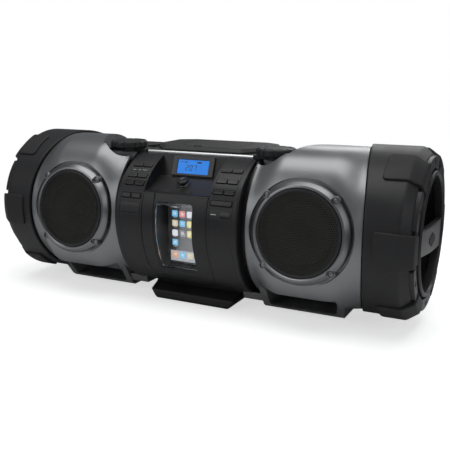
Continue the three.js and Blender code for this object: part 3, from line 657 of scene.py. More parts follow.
def buildShells():
    hole, depth = speaker["hole"], speaker["depth"]
    cup = turned([(58, -depth - 3), (hole + 3, -depth - 3), (hole + 3, 12), (hole - 2, 12),
                  (hole - 2, -depth + 2), (58, -depth + 2)],
                 96, atSpeaker)
    mouth = turned([(0, -depth), (hole - 1, -depth), (hole, -depth + 1), (hole, 30), (0, 30)], 120,
                   atSpeaker, 1)
    throat = turned([(0, -60), (59.5, -60), (59.5, -depth + 1), (0, -depth + 1)], 96, atSpeaker, 1)
    bed = padOf(deckOutline(4), [(0, deck["floor"] - 3), (0, 150)])
    notch = padOf(deckOutline(0), [(0, deck["floor"]), (0, 150)], mark=1)
    dishWall = scoopTool(81, 37, 0)
    dish = together(scoopTool(84, 33))
    arc = lambda r, low, high, n: [(-r * math.cos(a), r * math.sin(a))
                                   for a in np.radians(np.linspace(low, high, n))]
    sector = lambda inner, low, high: np.array(arc(160, low, high, 12) + arc(inner, high, low, 12))
    hollowWall = bar(sector(84, -83, -37), 116, 232, alongX)
    hollow = bar(sector(88, -80, -40), 120, 228, alongX, mark=1)
    slot = padOf(np.c_[7 * np.cos(np.linspace(0, fullTurn, 40, False)),
                       13 * np.sin(np.linspace(0, fullTurn, 40, False))]
                 + np.array([212, 2]), [(0, 90), (0, 150)], mark=1)
    skin = shellSolid(shell["inner"])
    body = meshOf("wall", shellWall())
    for lining in (cup, hollowWall, bed, dishWall):
        body = combined(body, combined(meshOf("lining", lining), skin, "INTERSECT"), "UNION")
    front = block(60, 300, -160, deck["knobY"] - 4, 60, 170)
    dish = combined(meshOf("dish", dish), front, "INTERSECT")
    # the speaker recess, throat, strap slot, deck notch and foot hollow are cut with the near-black second
    # material, so their walls carry painted shade in place of the silver
    for tool in (mouth, throat, notch, dish, slot, hollow):
        body = combined(body, tool, "DIFFERENCE")
    bothSides("Shell", body, [silver, blackAndRecessShade, scoopGrey], "shell", "silver", crease=38)
    print("stage: shells")


buildShells()


# End drums

drum = {
    "radius": 115, "corner": 308, "face": 321, "lip": 329, "opening": 78, "baffle": 299, "edge": 1.6,
    "lugs": (-1, 56.5, 123, 179, -123, -57),   # angles of the rubber lugs, from the front upwards
    "lugHalf": 12,                             # half the angle that a lug covers
}


def onFace(u, v, h):
    return np.stack([h, u, v], -1)


# Rows of (share of the seam's place, x, radius): the seam end leans, the rest is turned about the axis
def buildDrums():
    angle = np.arange(220) * fullTurn / 220
    seam = seamAt(-drum["radius"] * np.cos(angle), 0.35)
    e, big = drum["edge"], drum["radius"]
    t = np.linspace(0, math.pi / 2, 5)
    rows = [(1, e * (1 - math.sin(a)), big - e * (1 - math.cos(a))) for a in t[::-1]]
    rows += [(f, (1 - f) * drum["corner"], big) for f in np.linspace(0.95, 0.45, 6)]
    profile = rounded([(big, 290), (big, drum["corner"], 7), (104, 320, 3), (84.4, 321, 0.8),
                       (84.4, 315, 0.5), (80, 315, 0.5),
                       (80, 299, 1.5), (70.5, 299, 0.8), (70.5, 294.6), (84, 294.6), (109.5, 302), (110.5,
                                                296)], 5, False)
    rows += [(0, x, r) for r, x in evenly(profile, 6, False)[1:]]
    rows += [(f, (1 - f) * 296, 110.5) for f in (0.3, 0.7)] + [(1, 0, 110.5)]
    share, x, r = (np.array(c, float)[:, None] for c in zip(*rows))
    x = share * seam + x
    grid = np.stack([x + 0 * angle, -r * np.cos(angle), r * np.sin(angle)], -1)
    marks = sheetOf(grid, 0, closeRows=True)
    # the inner wall of the opening round the woofer takes the darker second material: painted shade inside
    # the opening
    inside = (np.hypot(marks["points"][:, 1], marks["points"][:, 2]) < 84) & (marks["points"][:, 0] < 316)
    marks["marks"] = inside[marks["faces"][:, 0]].astype(int)
    bothSides("Drum", marks, [softBlack, blackAndRecessShade], "end_drum", "soft_black")


# A lug follows the drum's side, goes over its corner and down the face: u runs along that path
# and v round the axis, and height stands square to the path
def lugPlace(angle):
    path = evenly(rounded([(277, 118), (309, 118, 9), (325.4, 106.4, 5), (327.6, 92, 3), (325, 87)], 8,
                          False), 0.8, False)
    length = np.concatenate([[0], np.cumsum(np.linalg.norm(np.diff(path, axis=0), axis=1))])
    ahead = np.gradient(path, axis=0)
    ahead /= np.linalg.norm(ahead, axis=1)[:, None]

    def place(u, v, h):
        x, r, ax, ar = (np.interp(u, length, c) for c in (path[:, 0], path[:, 1], ahead[:, 0], ahead[:, 1]))
        x, r = x - ar * h, r + ax * h
        turn = math.radians(angle) + v / drum["radius"]
        return np.stack([x, -r * np.cos(turn), r * np.sin(turn)], -1)
    return place, length[-1]


def buildBumpers():
    parts = []
    half = math.radians(drum["lugHalf"]) * drum["radius"]
    rings = tuple(np.linspace(0.97, 0, 22))
    for angle in drum["lugs"]:
        place, length = lugPlace(angle)
        corners = [(0, -half, 5), (length, -half + 1.5, 1.5), (length, half - 1.5, 1.5), (0, half, 5)]
        edge = softEdge(-5.5, 0, 1.5, 5)
        parts.append(padOf(evenly(rounded(corners, 6), 1.6), edge, place, rings))
    ring = turned(rounded([(87, 318), (98.5, 318), (98.5, 323.6, 1.2), (96, 324.8, 0.6), (88.4, 325.2, 1),
                           (87, 323.4, 0.8)], 4), 160, onFace)
    parts.append(ring)
    bothSides("Bumper", together(*parts), rubber, "bumper", "rubber")

    # facets between the lugs, each with a countersunk screw
    facets, heads = [], []
    lugs = sorted(drum["lugs"])
    for low, high in zip(lugs, lugs[1:] + [lugs[0] + 360]):
        middle, half = math.radians((low + high) / 2), math.radians((high - low) / 2 - drum["lugHalf"] - 2.2)
        outline = oblong(15.5, 2 * half * 96, 2, spacing=1.2)

        def place(u, v, h, middle=middle):
            turn, r = middle + v / 96, 95.5 + u
            return np.stack([h, -r * np.cos(turn), r * np.sin(turn)], -1)
        facets.append(padOf(outline, softEdge(318, 325.4, 1.1), place, tuple(np.linspace(0.96, 0, 8))))
        heads.append((-96 * math.cos(middle), 96 * math.sin(middle)))
    pockets = [turned([(0, 322.6), (3.4, 322.6), (4.6, 330), (0, 330)], 24, lambda u, v, h,
                      m=m: onFace(u + m[0], v + m[1], h), 1)
               for m in heads]
    body = combined(meshOf("facets", together(*facets)), together(*pockets), "DIFFERENCE")
    bothSides("FacetRing", body, [stripGrey, blackAndRecessShade], None, "soft_black")
    screws = [screwHead(lambda u, v, h, m=m: onFace(u + m[0], v + m[1], h + 322.6), 3.0) for m in heads]
    bothSides("FacetScrews", together(*screws), [steel, blackAndRecessShade], None, "steel")


# A domed round head with two crossed slots set into it
def screwHead(place, radius):
    dome = turned(rounded([(0, 0), (radius, 0), (radius, 0.9, 0.4), (radius * 0.5, 1.25, 1), (0, 1.3)], 3,
                          False), 20, place)
    slots = []
    # the crossed slots take the second, near-black material: painted shade in the slots
    for turn in (0.4, 0.4 + math.pi / 2):
        c, s = math.cos(turn), math.sin(turn)
        corners = np.array([[-0.62, -0.13], [0.62, -0.13], [0.62, 0.13], [-0.62, 0.13]]) * radius
        slots.append(bar(corners @ np.array([[c, s], [-s, c]]), 0.8, 1.42, place, 1))
    return together(dome, *slots)


def buildEndTrim():
    o = drum["opening"]
    ring = turned(rounded([(o, 315.4), (o + 6, 315.4), (o + 6, 327, 1.0), (o + 3.6, 329, 1.0),
                           (o + 1.2, 328.6, 0.8),
                           (o, 326, 0.8)], 5), 180, onFace)
    bothSides("EndRing", ring, stripGrey, "end_ring", "soft_black")

    # the bar across the woofer: two bowed edges inside a circle, plain raised stripes at its middle
    y = np.linspace(-77.4, 77.4, 90)
    bow = lambda a, b, c: a + b * y / 76 + c * (y / 76) ** 2
    top, low = bow(11, -5.5, 2.5), bow(-25, -8.5, 1.5)
    reach = o - 0.5
    inTop, inLow = np.hypot(y, top) < reach, np.hypot(y, low) < reach
    outline = evenly(np.vstack([np.c_[y[inLow], low[inLow]], np.c_[y[inTop], top[inTop]][::-1]]), 3)
    bowed = lambda u, v, h: np.stack([h - (u / 76) ** 2 * 1.5 * (h > 322), u, v], -1)
    plate = padOf(outline, softEdge(319, 327.6, 1.2), bowed, tuple(np.linspace(0.97, 0, 8)))
    stripes = [padOf(oblong(3.4, tall, 1.2, (u, -7.2 - u * 0.09)), softEdge(327, 328.7, 0.6), bowed, (0.8, 0))
               for u, tall in ((-16, 9), (-8, 15), (0, 20), (8, 15), (16, 9))]
    bothSides("EndBar", together(plate, *stripes), stripGrey, "badge_bar", "black")


def buildWoofers():
    b = drum["baffle"]
    t = np.linspace(0, math.pi, 13)
    front = [(0, b - 5.5), (6, b - 5.8), (12, b - 7.2), (16, b - 9.6), (18.6, b - 12), (20.5, b - 15)]
    front += [(r, b - 15 + 13.5 * ((r - 21) / 39) ** 0.86) for r in np.linspace(22, 59.6, 12)]
    front += [(65.2 - 4.4 * math.cos(a), b - 0.6 + 5.0 * math.sin(a)) for a in t]
    back = [(69.7, b - 2), (66, b + 1.6), (61, b + 0.4), (58, b - 4), (20, b - 18.5), (16, b - 13.5),
            (0, b - 12)]
    shape = turned(front + back, 120, onFace)
    bothSides("WooferCone", shape, coneBlack, "woofer_cone", "cone", body="woofer_cone")


buildDrums()
buildBumpers()
buildEndTrim()
buildWoofers()
print("stage: ends")


# Front speakers

def buildSpeakers():
    grille, depth = 57.4, speaker["depth"]
    profile = rounded([(grille + 0.35, -depth + 0.4), (68, -depth + 0.4), (68, -9.2, 0.8), (67.4, -6.4, 0.8),
                       (66.4, -4.6, 1.0),
                       (61.9, 1.2, 1.2), (59.4, 1.8, 0.8), (57.9, 0.4, 0.6)], 5)
    ring, heads = meshOf("ring", turned(profile, 180, atSpeaker)), []
    for angle in np.radians([45, 135, 225, 315]):
        at = lambda u, v, h, a=angle: atSpeaker(u + 65.2 * math.cos(a), v + 65.2 * math.sin(a), h)
        boss = rounded([(0, -depth + 0.4), (5.6, -depth + 0.4), (5.6, -1.9, 0.6), (4.3, -1.5, 0.4),
                        (3.9, -3.6, 0.3), (0, -3.6)], 4, False)
        ring = combined(ring, turned([(0, -6), (5.2, -6), (5.2, 10), (0, 10)], 32, at), "DIFFERENCE")
        ring = combined(ring, turned(boss, 32, at), "UNION")
        heads.append(screwHead(lambda u, v, h, at=at: at(u, v, h - 3.6), 3.3))
    bothSides("Bezel", ring, brightMetal, "bezel", "bright")
    bothSides("BezelScrews", together(*heads), [steel, blackAndRecessShade], None, "steel")

    # perforated dome, thin and closed, inside a plain pressed rim
    r = np.linspace(0, 54.2, 26)
    crown = lambda r: 1.9 - 1.2 * (r / 57) ** 2
    dome = [(a, crown(a)) for a in r] + [(a, crown(a) - 0.5) for a in r[::-1]]
    shape = turned(dome, 140, atSpeaker)
    distance = np.linalg.norm(shape["points"] - atSpeaker(0.0, 0.0, 0.0), axis=1)
    shape["marks"] = (distance[shape["faces"]].mean(1) > 36).astype(int)
    bothSides("GrilleMesh", shape, [grilleMesh, paleMesh], "grille", "mesh")
    rim = rounded([(53.6, -0.6), (57.3, -1), (57.3, 0.9, 0.5), (55.6, 1.5, 0.5), (53.9, 1.3, 0.4)], 4)
    bothSides("GrilleRim", turned(rim, 160, atSpeaker), stripGrey, None, "mesh")

    t = np.linspace(0, math.pi, 9)
    front = [(0, -17.5), (5, -17.9), (9, -19.4), (11.5, -22)] + [(a, -22 + 13.4 * ((a - 12) / 24) ** 0.9)
                                                for a in np.linspace(13, 36, 9)]
    roll = [(40.4 - 4.4 * math.cos(a), -8.4 + 3.0 * math.sin(a)) for a in t]
    flange = [(46, -8.2), (56, -8.2), (56, -9.6), (45, -10)]
    back = [(36, -10.5), (12, -24.5), (0, -24.5)]
    shape = turned(front + roll + flange + back, 100, atSpeaker)
    distance = np.linalg.norm(shape["points"] - atSpeaker(0.0, 0.0, -12.0), axis=1)
    shape["marks"] = (distance[shape["faces"][:, 0]] > 35).astype(int)
    bothSides("DriverCone", shape, [coneBlack, coneGrey], "driver_cone", "cone", body="driver_cone")


buildSpeakers()
print("stage: speakers")


# Control module

module = {
    # section seen from the side: (degrees from the front, distance from the axis)
    "section": [(-180, 111), (-100, 111), (-84, 111.5), (-72, 113), (-60, 116), (-50, 119), (-40, 120.8),
                (-30, 121.5),
                (10, 121.5), (20, 120.5), (30, 118), (40, 113.5), (50, 109.5), (60, 105.5), (66, 103), (80,
                                                105),
                (100, 109), (120, 111), (180, 111)],
    "half": 97, "channelHalf": 103.7, "channel": 104, "edge": 2.2,
    "doorHalf": 52.2, "doorReach": 121.5, "doorThick": 3.8, "doorLow": -78, "doorHigh": 46,
    "windowHalf": 29.3, "windowLow": -65, "windowHigh": 33,
    "stripX": 72, "left": (43.5, 33.5, 27.5, 18.5), "right": (43.5, 34, 26), "barAngle": 18.5,
    "pocketHalf": 35, "pocketBack": -72.5,
}


# Section distance at each angle: the table's straight runs, softened over a few degrees
def moduleReach(degrees):
    fine = np.arange(-180, 180, 0.5)
    raw = np.interp(fine, *zip(*module["section"]))
    kernel = np.exp(-np.linspace(-2, 2, 9) ** 2)
    soft = np.convolve(np.r_[raw[-4:], raw, raw[:4]], kernel / kernel.sum(), "valid")
    return np.interp((np.asarray(degrees) + 180) % 360 - 180, np.r_[fine, 180], np.r_[soft, soft[0]])


def moduleSkin(rows, mark=0, closeRows=False):
    degrees = np.arange(-180, 180, 1.5)
    x, inset = (np.array(c, float)[:, None] for c in zip(*rows))
    r = np.maximum(moduleReach(degrees) - inset, 0)
    a = np.radians(degrees)
    return sheetOf(np.stack([x + 0 * a, -r * np.cos(a), r * np.sin(a)], -1), mark, closeRows)


def moduleSolid(inset=0.0, half=None, edge=0.0):
    half = half or module["half"]
    turn = np.linspace(0, math.pi / 2, 5)
    end = [(half - edge * (1 - math.sin(a)), inset + edge * (1 - math.cos(a))) for a in turn]
    ends = [(-x, i) for x, i in reversed(end)] if edge else [(-half, inset)]
    middle = [(x, inset) for x in np.linspace(-half + 4, half - 4, 12)]
    far = end if edge else [(half, inset)]
    return moduleSkin([(-half, 999)] + ends + middle + far + [(half, 999)])


# u along the tube, v round the section from a given angle, height straight out
def onModule(x, degrees):
    fine = np.arange(-100, 100, 0.5)
    a = np.radians(fine)
    r = moduleReach(fine)
    y, z = -r * np.cos(a), r * np.sin(a)
    run = np.concatenate([[0], np.cumsum(np.hypot(np.diff(y), np.diff(z)))])
    start = np.interp(degrees, fine, run)
    ahead = np.stack([np.gradient(y, run), np.gradient(z, run)])

    def place(u, v, h):
        s = start + v
        py, pz, ty, tz = (np.interp(s, run, c) for c in (y, z, ahead[0], ahead[1]))
        return np.stack([x + u, py - tz * h, pz + ty * h], -1)
    return place


def bayOutline(grow):
    return np.array([[-150, 46 - grow], [-104, 46 - grow], [-66 + grow * 0.4, 62 - grow], [-55 + grow, 93],
                     [-55 + grow, 120],
                     [-150, 120]], float)


def sectorOutline(inner, outer, low, high, count=24):
    a = np.radians(np.linspace(low, high, count))
    ring = lambda r, t: np.c_[-r * np.cos(t), r * np.sin(t)]
    return np.vstack([ring(outer, a), ring(inner, a[::-1])])


def degreesAt(z):
    return math.degrees(math.asin(z / module["doorReach"]))


def buttonPlaces():
    for row, degrees in enumerate(module["left"]):
        for letter, side in zip("ab", (-8.2, 8.2)):
            yield f"button_left_{row + 1}{letter}", -module["stripX"] + side, degrees, 14.6
    for row, degrees in enumerate(module["right"]):
        for letter, side in zip("ab", (-8.2, 8.2)):
            yield f"button_right_{row + 1}{letter}", module["stripX"] + side, degrees, 14.6
    yield "button_bar", module["stripX"], module["barAngle"], 31


def buildHousing():
    half, low, high = module["doorHalf"], degreesAt(module["doorLow"]), degreesAt(module["doorHigh"])
    floor = module["doorReach"] - module["doorThick"] - 1.2
    pocket, back = module["pocketHalf"], module["pocketBack"]
    solid = moduleSolid(edge=module["edge"])
    ring = turned(rounded([(0, -module["channelHalf"]), (module["channel"], -module["channelHalf"], 1),
                           (module["channel"], module["channelHalf"], 1), (0,
                                   module["channelHalf"])], 3, False), 200, onFace)
    hull = combined(meshOf("hull", solid), ring, "UNION")
    inside = combined(meshOf("void", moduleSolid(5, 93)),
                      turned([(0, -130), (99, -130), (99, 130), (0, 130)], 120, onFace), "UNION")
    body = combined(hull.copy(), inside, "DIFFERENCE")
    linings = [
        bar(bayOutline(3), -half - 3, half + 3, alongX),
        bar(sectorOutline(floor - 3, 124, low - 2, high + 2), -half - 3, half + 3, alongX),
        block(-pocket - 3, pocket + 3, -floor + 3, back + 3, -73, 43),
        block(-66, 66, 62, 125, -52, 26), block(70, 92.5, 86, 125, -42, -16),
        padOf(deckOutline(-1), [(0, deck["floor"] - 3), (0, 150)]),
    ]
    for lining in linings:
        body = combined(body, combined(hull.copy(), lining, "INTERSECT"), "UNION")
    seats = [padOf(oblong(wide + 1.6, 8.4, 1.9, spacing=0.8), [(0, -5), (0, 4)], onModule(x, degrees), mark=1)
             for _, x, degrees, wide in buttonPlaces()]
    bayRound = evenly(rounded([(-150, 46), (-104, 46), (-66, 62, 2), (-55, 93, 1), (-55, 120), (-150, 120)]),
                      4)
    well = lambda u, v, h: np.stack([u, v + deck["wellY"], h], -1)
    cuts = [
        bar(bayRound, -half, half, alongX, 0),
        bar(sectorOutline(floor, 160, low, high, 40), -half, half, alongX, 1),
        bar(oblong(2 * pocket, 112, 3, (0, -14)), -140, back, alongY, 2),
        block(-60, 60, 66, 125, -46, 20, 1), block(-62, 62, 90, 125, -48, 22, 1),
        bar(oblong(16, 18, 3, (82, -29)), 90, 125, alongY, 1),
        padOf(deckOutline(0), [(0, deck["floor"]), (0, 150)], mark=1),
        turned([(0, 60), (64.4, 60), (64.4, 150), (0, 150)], 90, well, 1),
        block(-86.85, 86.85, -52, deck["trimY"] + 0.35, 87.6, 110, 1),
    ] + seats
    for tool in cuts:
        body = combined(body, tool, "DIFFERENCE")
    piece("housing", body, [satinBlack, blackAndRecessShade, pocketGrey], "cabinet", "control_housing", "black",
          crease=30)
    bump = evenly(rounded([(-76, 12), (76, 12), (76, 56, 8), (49, 92, 8), (-49, 92, 8), (-76, 56, 8)]), 3)
    well = turned([(0, 40), (64.4, 40), (64.4, 99), (0, 99)], 90, well, 1)
    back = combined(meshOf("bump", padOf(bump, softEdge(66, deck["floor"], 0.6))), well, "DIFFERENCE")
    piece("discHousing", back, [satinBlack, blackAndRecessShade], "cabinet", None, "black")


def stripDetails():
    # thin raised lines beside each button strip, a lighter label bar and the plain panels below the rows
    lines, panels, darks, prints = [], [], [], []
    for side in (-1, 1):
        for x in (side * 54.6, side * 89.4):
            degrees = np.linspace(-34, 63, 70)
            r = moduleReach(degrees) - 0.15
            a = np.radians(degrees)
            lines.append(beadOf(np.c_[np.full(70, x), -r * np.cos(a), r * np.sin(a)], 0.55))
    label = onModule(-module["stripX"], 38.5)
    panels.append(padOf(oblong(31, 3.4, 0.8, spacing=1), softEdge(-0.5, 0.45, 0.3), label, (0.9, 0.5, 0)))
    for u, wide in ((-10, 6), (-1, 4), (8, 7)):
        prints.append(padOf(oblong(wide, 0.55, 0.2, (u, 0), 0.6), [(0, 0.3), (0, 0.53)], label, (0,)))
    left = onModule(-module["stripX"], 9.6)
    panels.append(padOf(oblong(33, 17.5, 1.2, spacing=1.2), softEdge(-0.5, 0.6, 0.5), left,
                        tuple(np.linspace(0.96, 0, 8))))
    for v in (6.6, 2.2, -5.6):
        darks.append(padOf(oblong(30, 1.0, 0.4, (0, v), 1), [(0, 0.4), (0.1, 0.66)], left, (0.5, 0)))
    right = onModule(module["stripX"], 11)
    panels.append(padOf(oblong(33, 12.5, 1.2, spacing=1.2), softEdge(-0.5, 0.6, 0.5), right,
                        tuple(np.linspace(0.96, 0, 8))))
    darks.append(padOf(oblong(15, 8.6, 1.0, (7.5, 0), 1), softEdge(0.2, 0.9, 0.3), right, (0.9, 0.5, 0)))
    prints.append(padOf(oblong(8, 0.9, 0.3, (-9.5, 0.4), 0.6), [(0, 0.3), (0, 0.7)], right, (0,)))
    piece("stripLines", together(*lines), stripGrey, "cabinet", None, "black")
    piece("stripPanels", together(*panels), stripGrey, "cabinet", None, "black")
    piece("sensorPanes", together(*darks), darkGlass, "cabinet", None, "black")
    piece("stripMarks", together(*prints), printGrey, "cabinet", None, "black")


# Small plain shapes in place of words: each is a list of outlines (u, v)
def glyph(kind):
    tri = lambda u, s: np.array([[u - s, -1.1], [u + s, 0], [u - s, 1.1]])
    dash = lambda u, wide: oblong(wide, 1.3, 0.3, (u, 0), 0.5)
    post = lambda u: oblong(0.7, 2.2, 0.1, (u, 0), 0.5)
    return {
        "play": [tri(-2.4, 1.1), dash(2.2, 4.2)], "next": [tri(-0.6, 1.0), tri(1.6, 1.0), post(3.2)],
        "back": [-tri(0.6, 1.0)[::-1], -tri(-1.6, 1.0)[::-1],
                 post(-3.6)], "stop": [oblong(2.2, 2.2, 0.2, (-2.6, 0), 0.6), dash(2.0, 4.6)],
        "line": [dash(-2.6, 4.4), dash(2.8, 3.4)], "pair": [post(-3.4), post(-2.0), dash(2.2, 4.6)],
        "arrow": [np.array([[-1.5, 0.6], [0, -1.0], [1.5, 0.6]])],
    }[kind]


def buildButtons():
    kinds = ["line", "line", "play", "stop", "back", "next", "line", "pair", "line", "pair", "play", "stop",
             "back", "next", "arrow"]
    for (name, x, degrees, wide), kind in zip(buttonPlaces(), kinds):
        place = onModule(x, degrees)
        dish = lambda u, v, h, place=place, wide=wide: place(u, v,
                                                h - 0.25 * (h > 1) * (1 - (2 * v / 6.4) ** 2))
        cap = padOf(oblong(wide, 6.4, 1.5, spacing=0.6), softEdge(-2.6, 1.5, 0.8, 5), dish,
                    (0.94, 0.8, 0.6, 0.4, 0.2, 0))
        marks = [padOf(o * 1.05 + np.array([0, 0.9]), [(0, 0.9), (0, 1.6)], place, (0,), 1, 1)
                 for o in glyph(kind)]
        node = name.replace("button_", "")
        piece("key_" + node, together(cap, *marks), [buttonBlack, printGrey], name, name, "button")


def doorPlace(u, v, h):
    a = v / module["doorReach"]
    r = module["doorReach"] + h
    return np.stack([u + 0 * r, -r * np.cos(a), r * np.sin(a)], -1)


def buildDoor():
    reach = module["doorReach"]
    low, high = (math.radians(degreesAt(module[k])) * reach for k in ("doorLow", "doorHigh"))
    windowLow, windowHigh = (math.radians(degreesAt(module[k])) * reach for k in ("windowLow", "windowHigh"))
    wide, tall, middle = 2 * module["doorHalf"] - 0.7, high - low - 1.4, (0, (low + high) / 2)
    rings = tuple(np.linspace(0.98, 0, 34))
    slab = padOf(oblong(wide, tall, 2.0, middle, 2.5), softEdge(-3.6, 0, 1.0), doorPlace, rings)
    hole = padOf(oblong(2 * module["windowHalf"], windowHigh - windowLow, 5,
                        (0, (windowLow + windowHigh) / 2), 2),
                 [(0, -12), (-0.6, 6)], doorPlace, tuple(np.linspace(0.9, 0, 16)), 1)
    x = module["windowHalf"] + 3.2
    line = evenly(rounded([(-x, high + 3), (-x, windowLow - 3.4, 7), (x - 2, windowLow - 3.4)], 8, False),
                  1.5, False)
    groove = beadOf(doorPlace(line[:, 0], line[:, 1], np.full(len(line), 0.25)), 1.15, 1)
    lowLine = evenly(np.array([[-42.0, windowLow - 10.5], [42.0, windowLow - 10.5]]), 2, False)
    lower = beadOf(doorPlace(lowLine[:, 0], lowLine[:, 1], np.full(len(lowLine), 0.3)), 0.7, 1)
    body = meshOf("door", slab)
    for tool in (hole, groove, lower):
        body = combined(body, tool, "DIFFERENCE")
    piece("doorPanel", body, [satinBlack, blackAndRecessShade], "dock_door", "dock_door", "black", crease=30)

    pane = padOf(oblong(2 * module["windowHalf"] - 0.9, windowHigh - windowLow - 0.9, 4.6,
                        (0, (windowLow + windowHigh) / 2), 2),
                 softEdge(-3.0, -1.2, 0.3), doorPlace, rings)
    piece("doorPane", pane, clearPane, "dock_door", "door_window", "glass")

    # the tab lies on the shelf above the door and leaves room for the joystick
    tab = rounded([(-34, -1.5, 1), (20, -1.5, 1), (20, 3.2, 1.5), (11, 3.2, 3), (6, -0.2, 3), (-10, -0.2, 3),
                   (-15, 3.6, 3), (-34, 3.6, 3)])
    shelf = lambda u, v, h: shelfPlace(u + 2, v - 19.6, h)
    piece("doorTab", padOf(evenly(tab, 1.2), softEdge(0.15, 1.1, 0.5), shelf, (0.97, 0.6, 0)), satinBlack,
          "dock_door", None, "black")

    base = padOf(evenly(rounded([(-30, -93.5, 2), (30, -93.5, 2), (30, -73, 2), (-30, -73, 2)]), 3),
                 softEdge(-69.6, -66.4, 0.8))
    plug = padOf(oblong(24, 5.5, 1, (0, -79.8)), softEdge(-67, -62.3, 0.3))
    piece("dockCradle", together(base, plug), satinBlack, "dock_door", "dock_cradle", "black")


def shelfPlace(u, v, h):
    tilt = math.atan2(62 - 46, 104 - 66)
    c, s = math.cos(tilt), math.sin(tilt)
    return np.stack([-2 + u, -86 + v * c - h * s, 53.6 + v * s + h * c], -1)


player = {"wide": 60, "low": -62, "high": 40, "front": -84, "thick": 8.5, "corner": 8, "pitch": 12.2,
          "tile": 9.4}


def buildPlayer():
    wide, tall, middle = player["wide"], player["high"] - player["low"], (player["high"] + player["low"]) / 2
    face = lambda u, v, h: np.stack([u, player["front"] - h, middle + v], -1)
    shell = padOf(oblong(wide, tall, player["corner"]),
                  [(3.2, -8.5), (1.2, -8.1), (0.3, -7), (0, -5.5), (0, -0.5), (0.4, -0.15)], face)
    glass = padOf(oblong(wide - 2.4, tall - 2.4, player["corner"] - 1), softEdge(-1, 0.1, 0.25), face,
                  (0.97, 0.5, 0), 1)
    piece("playerBody", together(shell, glass), [deviceMetal, deviceGlass], "dock_door", "pocket_player",
          "device")

    sky, rose, sand, sun, leaf = (0.16, 0.55, 0.88), (0.82, 0.30, 0.30), (0.72, 0.62, 0.42), (0.90, 0.78,
                                                0.26), (0.30, 0.62, 0.36)
    pale, slate, ember = (0.80, 0.84, 0.88), (0.26, 0.27, 0.30), (0.85, 0.38, 0.20)
    rows = [[sky, rose, pale, slate], [sand, sky, sun, leaf], [pale, slate, sun, sky],
            [sky, None, None, None],
            [ember, sky, sand, pale]]
    tiles, colours = [], []

    def add(outline, low, high, colour):
        tile = padOf(outline, [(0, low), (0, high)], face, (0.5, 0))
        tiles.append(tile)
        colours.append(np.tile([*colour, 1], (len(tile["points"]), 1)))
    tray = (0.42, 0.45, 0.48)
    add(oblong(52, 15.5, 1, (0, -40)), 0.02, 0.14, tray)
    add(oblong(52, 2.2, 0.2, (0, 31.5)), 0.02, 0.14, (0.05, 0.05, 0.055))
    heights = [22, 7.9, -6.4, -20.4, -38.5]
    for row, v in zip(rows, heights):
        for k, colour in enumerate(row):
            if colour is None:
                continue
            u = (k - 1.5) * player["pitch"]
            add(oblong(player["tile"], player["tile"], 2, (u, v)), 0.1, 0.22, colour)
            light = tuple(0.5 + 0.5 * c for c in colour)
            inner = circle(2.3, 16, (u, v)) if (k + int(v)) % 2 else oblong(4.6, 3.6, 1, (u, v + 0.4))
            add(inner, 0.2, 0.27, light)
            add(oblong(5.0, 0.7, 0.2, (u, v - 6.2)), 0.1, 0.18, (0.35, 0.35, 0.36))
    for u, wide in ((-18, 7), (14, 9)):
        add(oblong(wide, 0.9, 0.2, (u, 31.5)), 0.1, 0.2, (0.6, 0.6, 0.62))
    mesh = rawMesh("tiles", together(*tiles))
    layer = mesh.color_attributes.new("tileColour", "FLOAT_COLOR", "POINT")
    layer.data.foreach_set("color", np.vstack(colours).astype(np.float32).ravel())
    piece("playerScreen", welded(mesh), screenTiles, "dock_door", None, "device")


def bayPlace(u, v, h):
    lean = math.atan2(11, 31)
    c, s = math.cos(lean), math.sin(lean)
    z = 77 + v * c
    return np.stack([u + 0 * z, -66 + (z - 62) * 11 / 31 - h * c, z + h * s], -1)


# Seven-bar numerals: which bars are lit, of the top, upper right, lower right, bottom, lower left,
# upper left and middle one
def numeral(digit, u, v, size):
    lit = {"0": "1111110", "1": "0110000", "2": "1101101", "3": "1111001", "7": "1110000",
           "8": "1111111"}[digit]
    places = [(0, 1, 0), (0.5, 0.5, 1), (0.5, -0.5, 1), (0, -1, 0), (-0.5, -0.5, 1), (-0.5, 0.5, 1),
              (0, 0, 0)]
    bars = []
    for on, (a, b, upright) in zip(lit, places):
        if on == "1":
            wide, tall = (1.0, 2 * size * 0.44) if upright else (size * 0.86, 1.0)
            slant = 0.12 * b * size
            bars.append(oblong(wide, tall, 0.3, (u + a * size + slant, v + b * size), 0.5))
    return bars


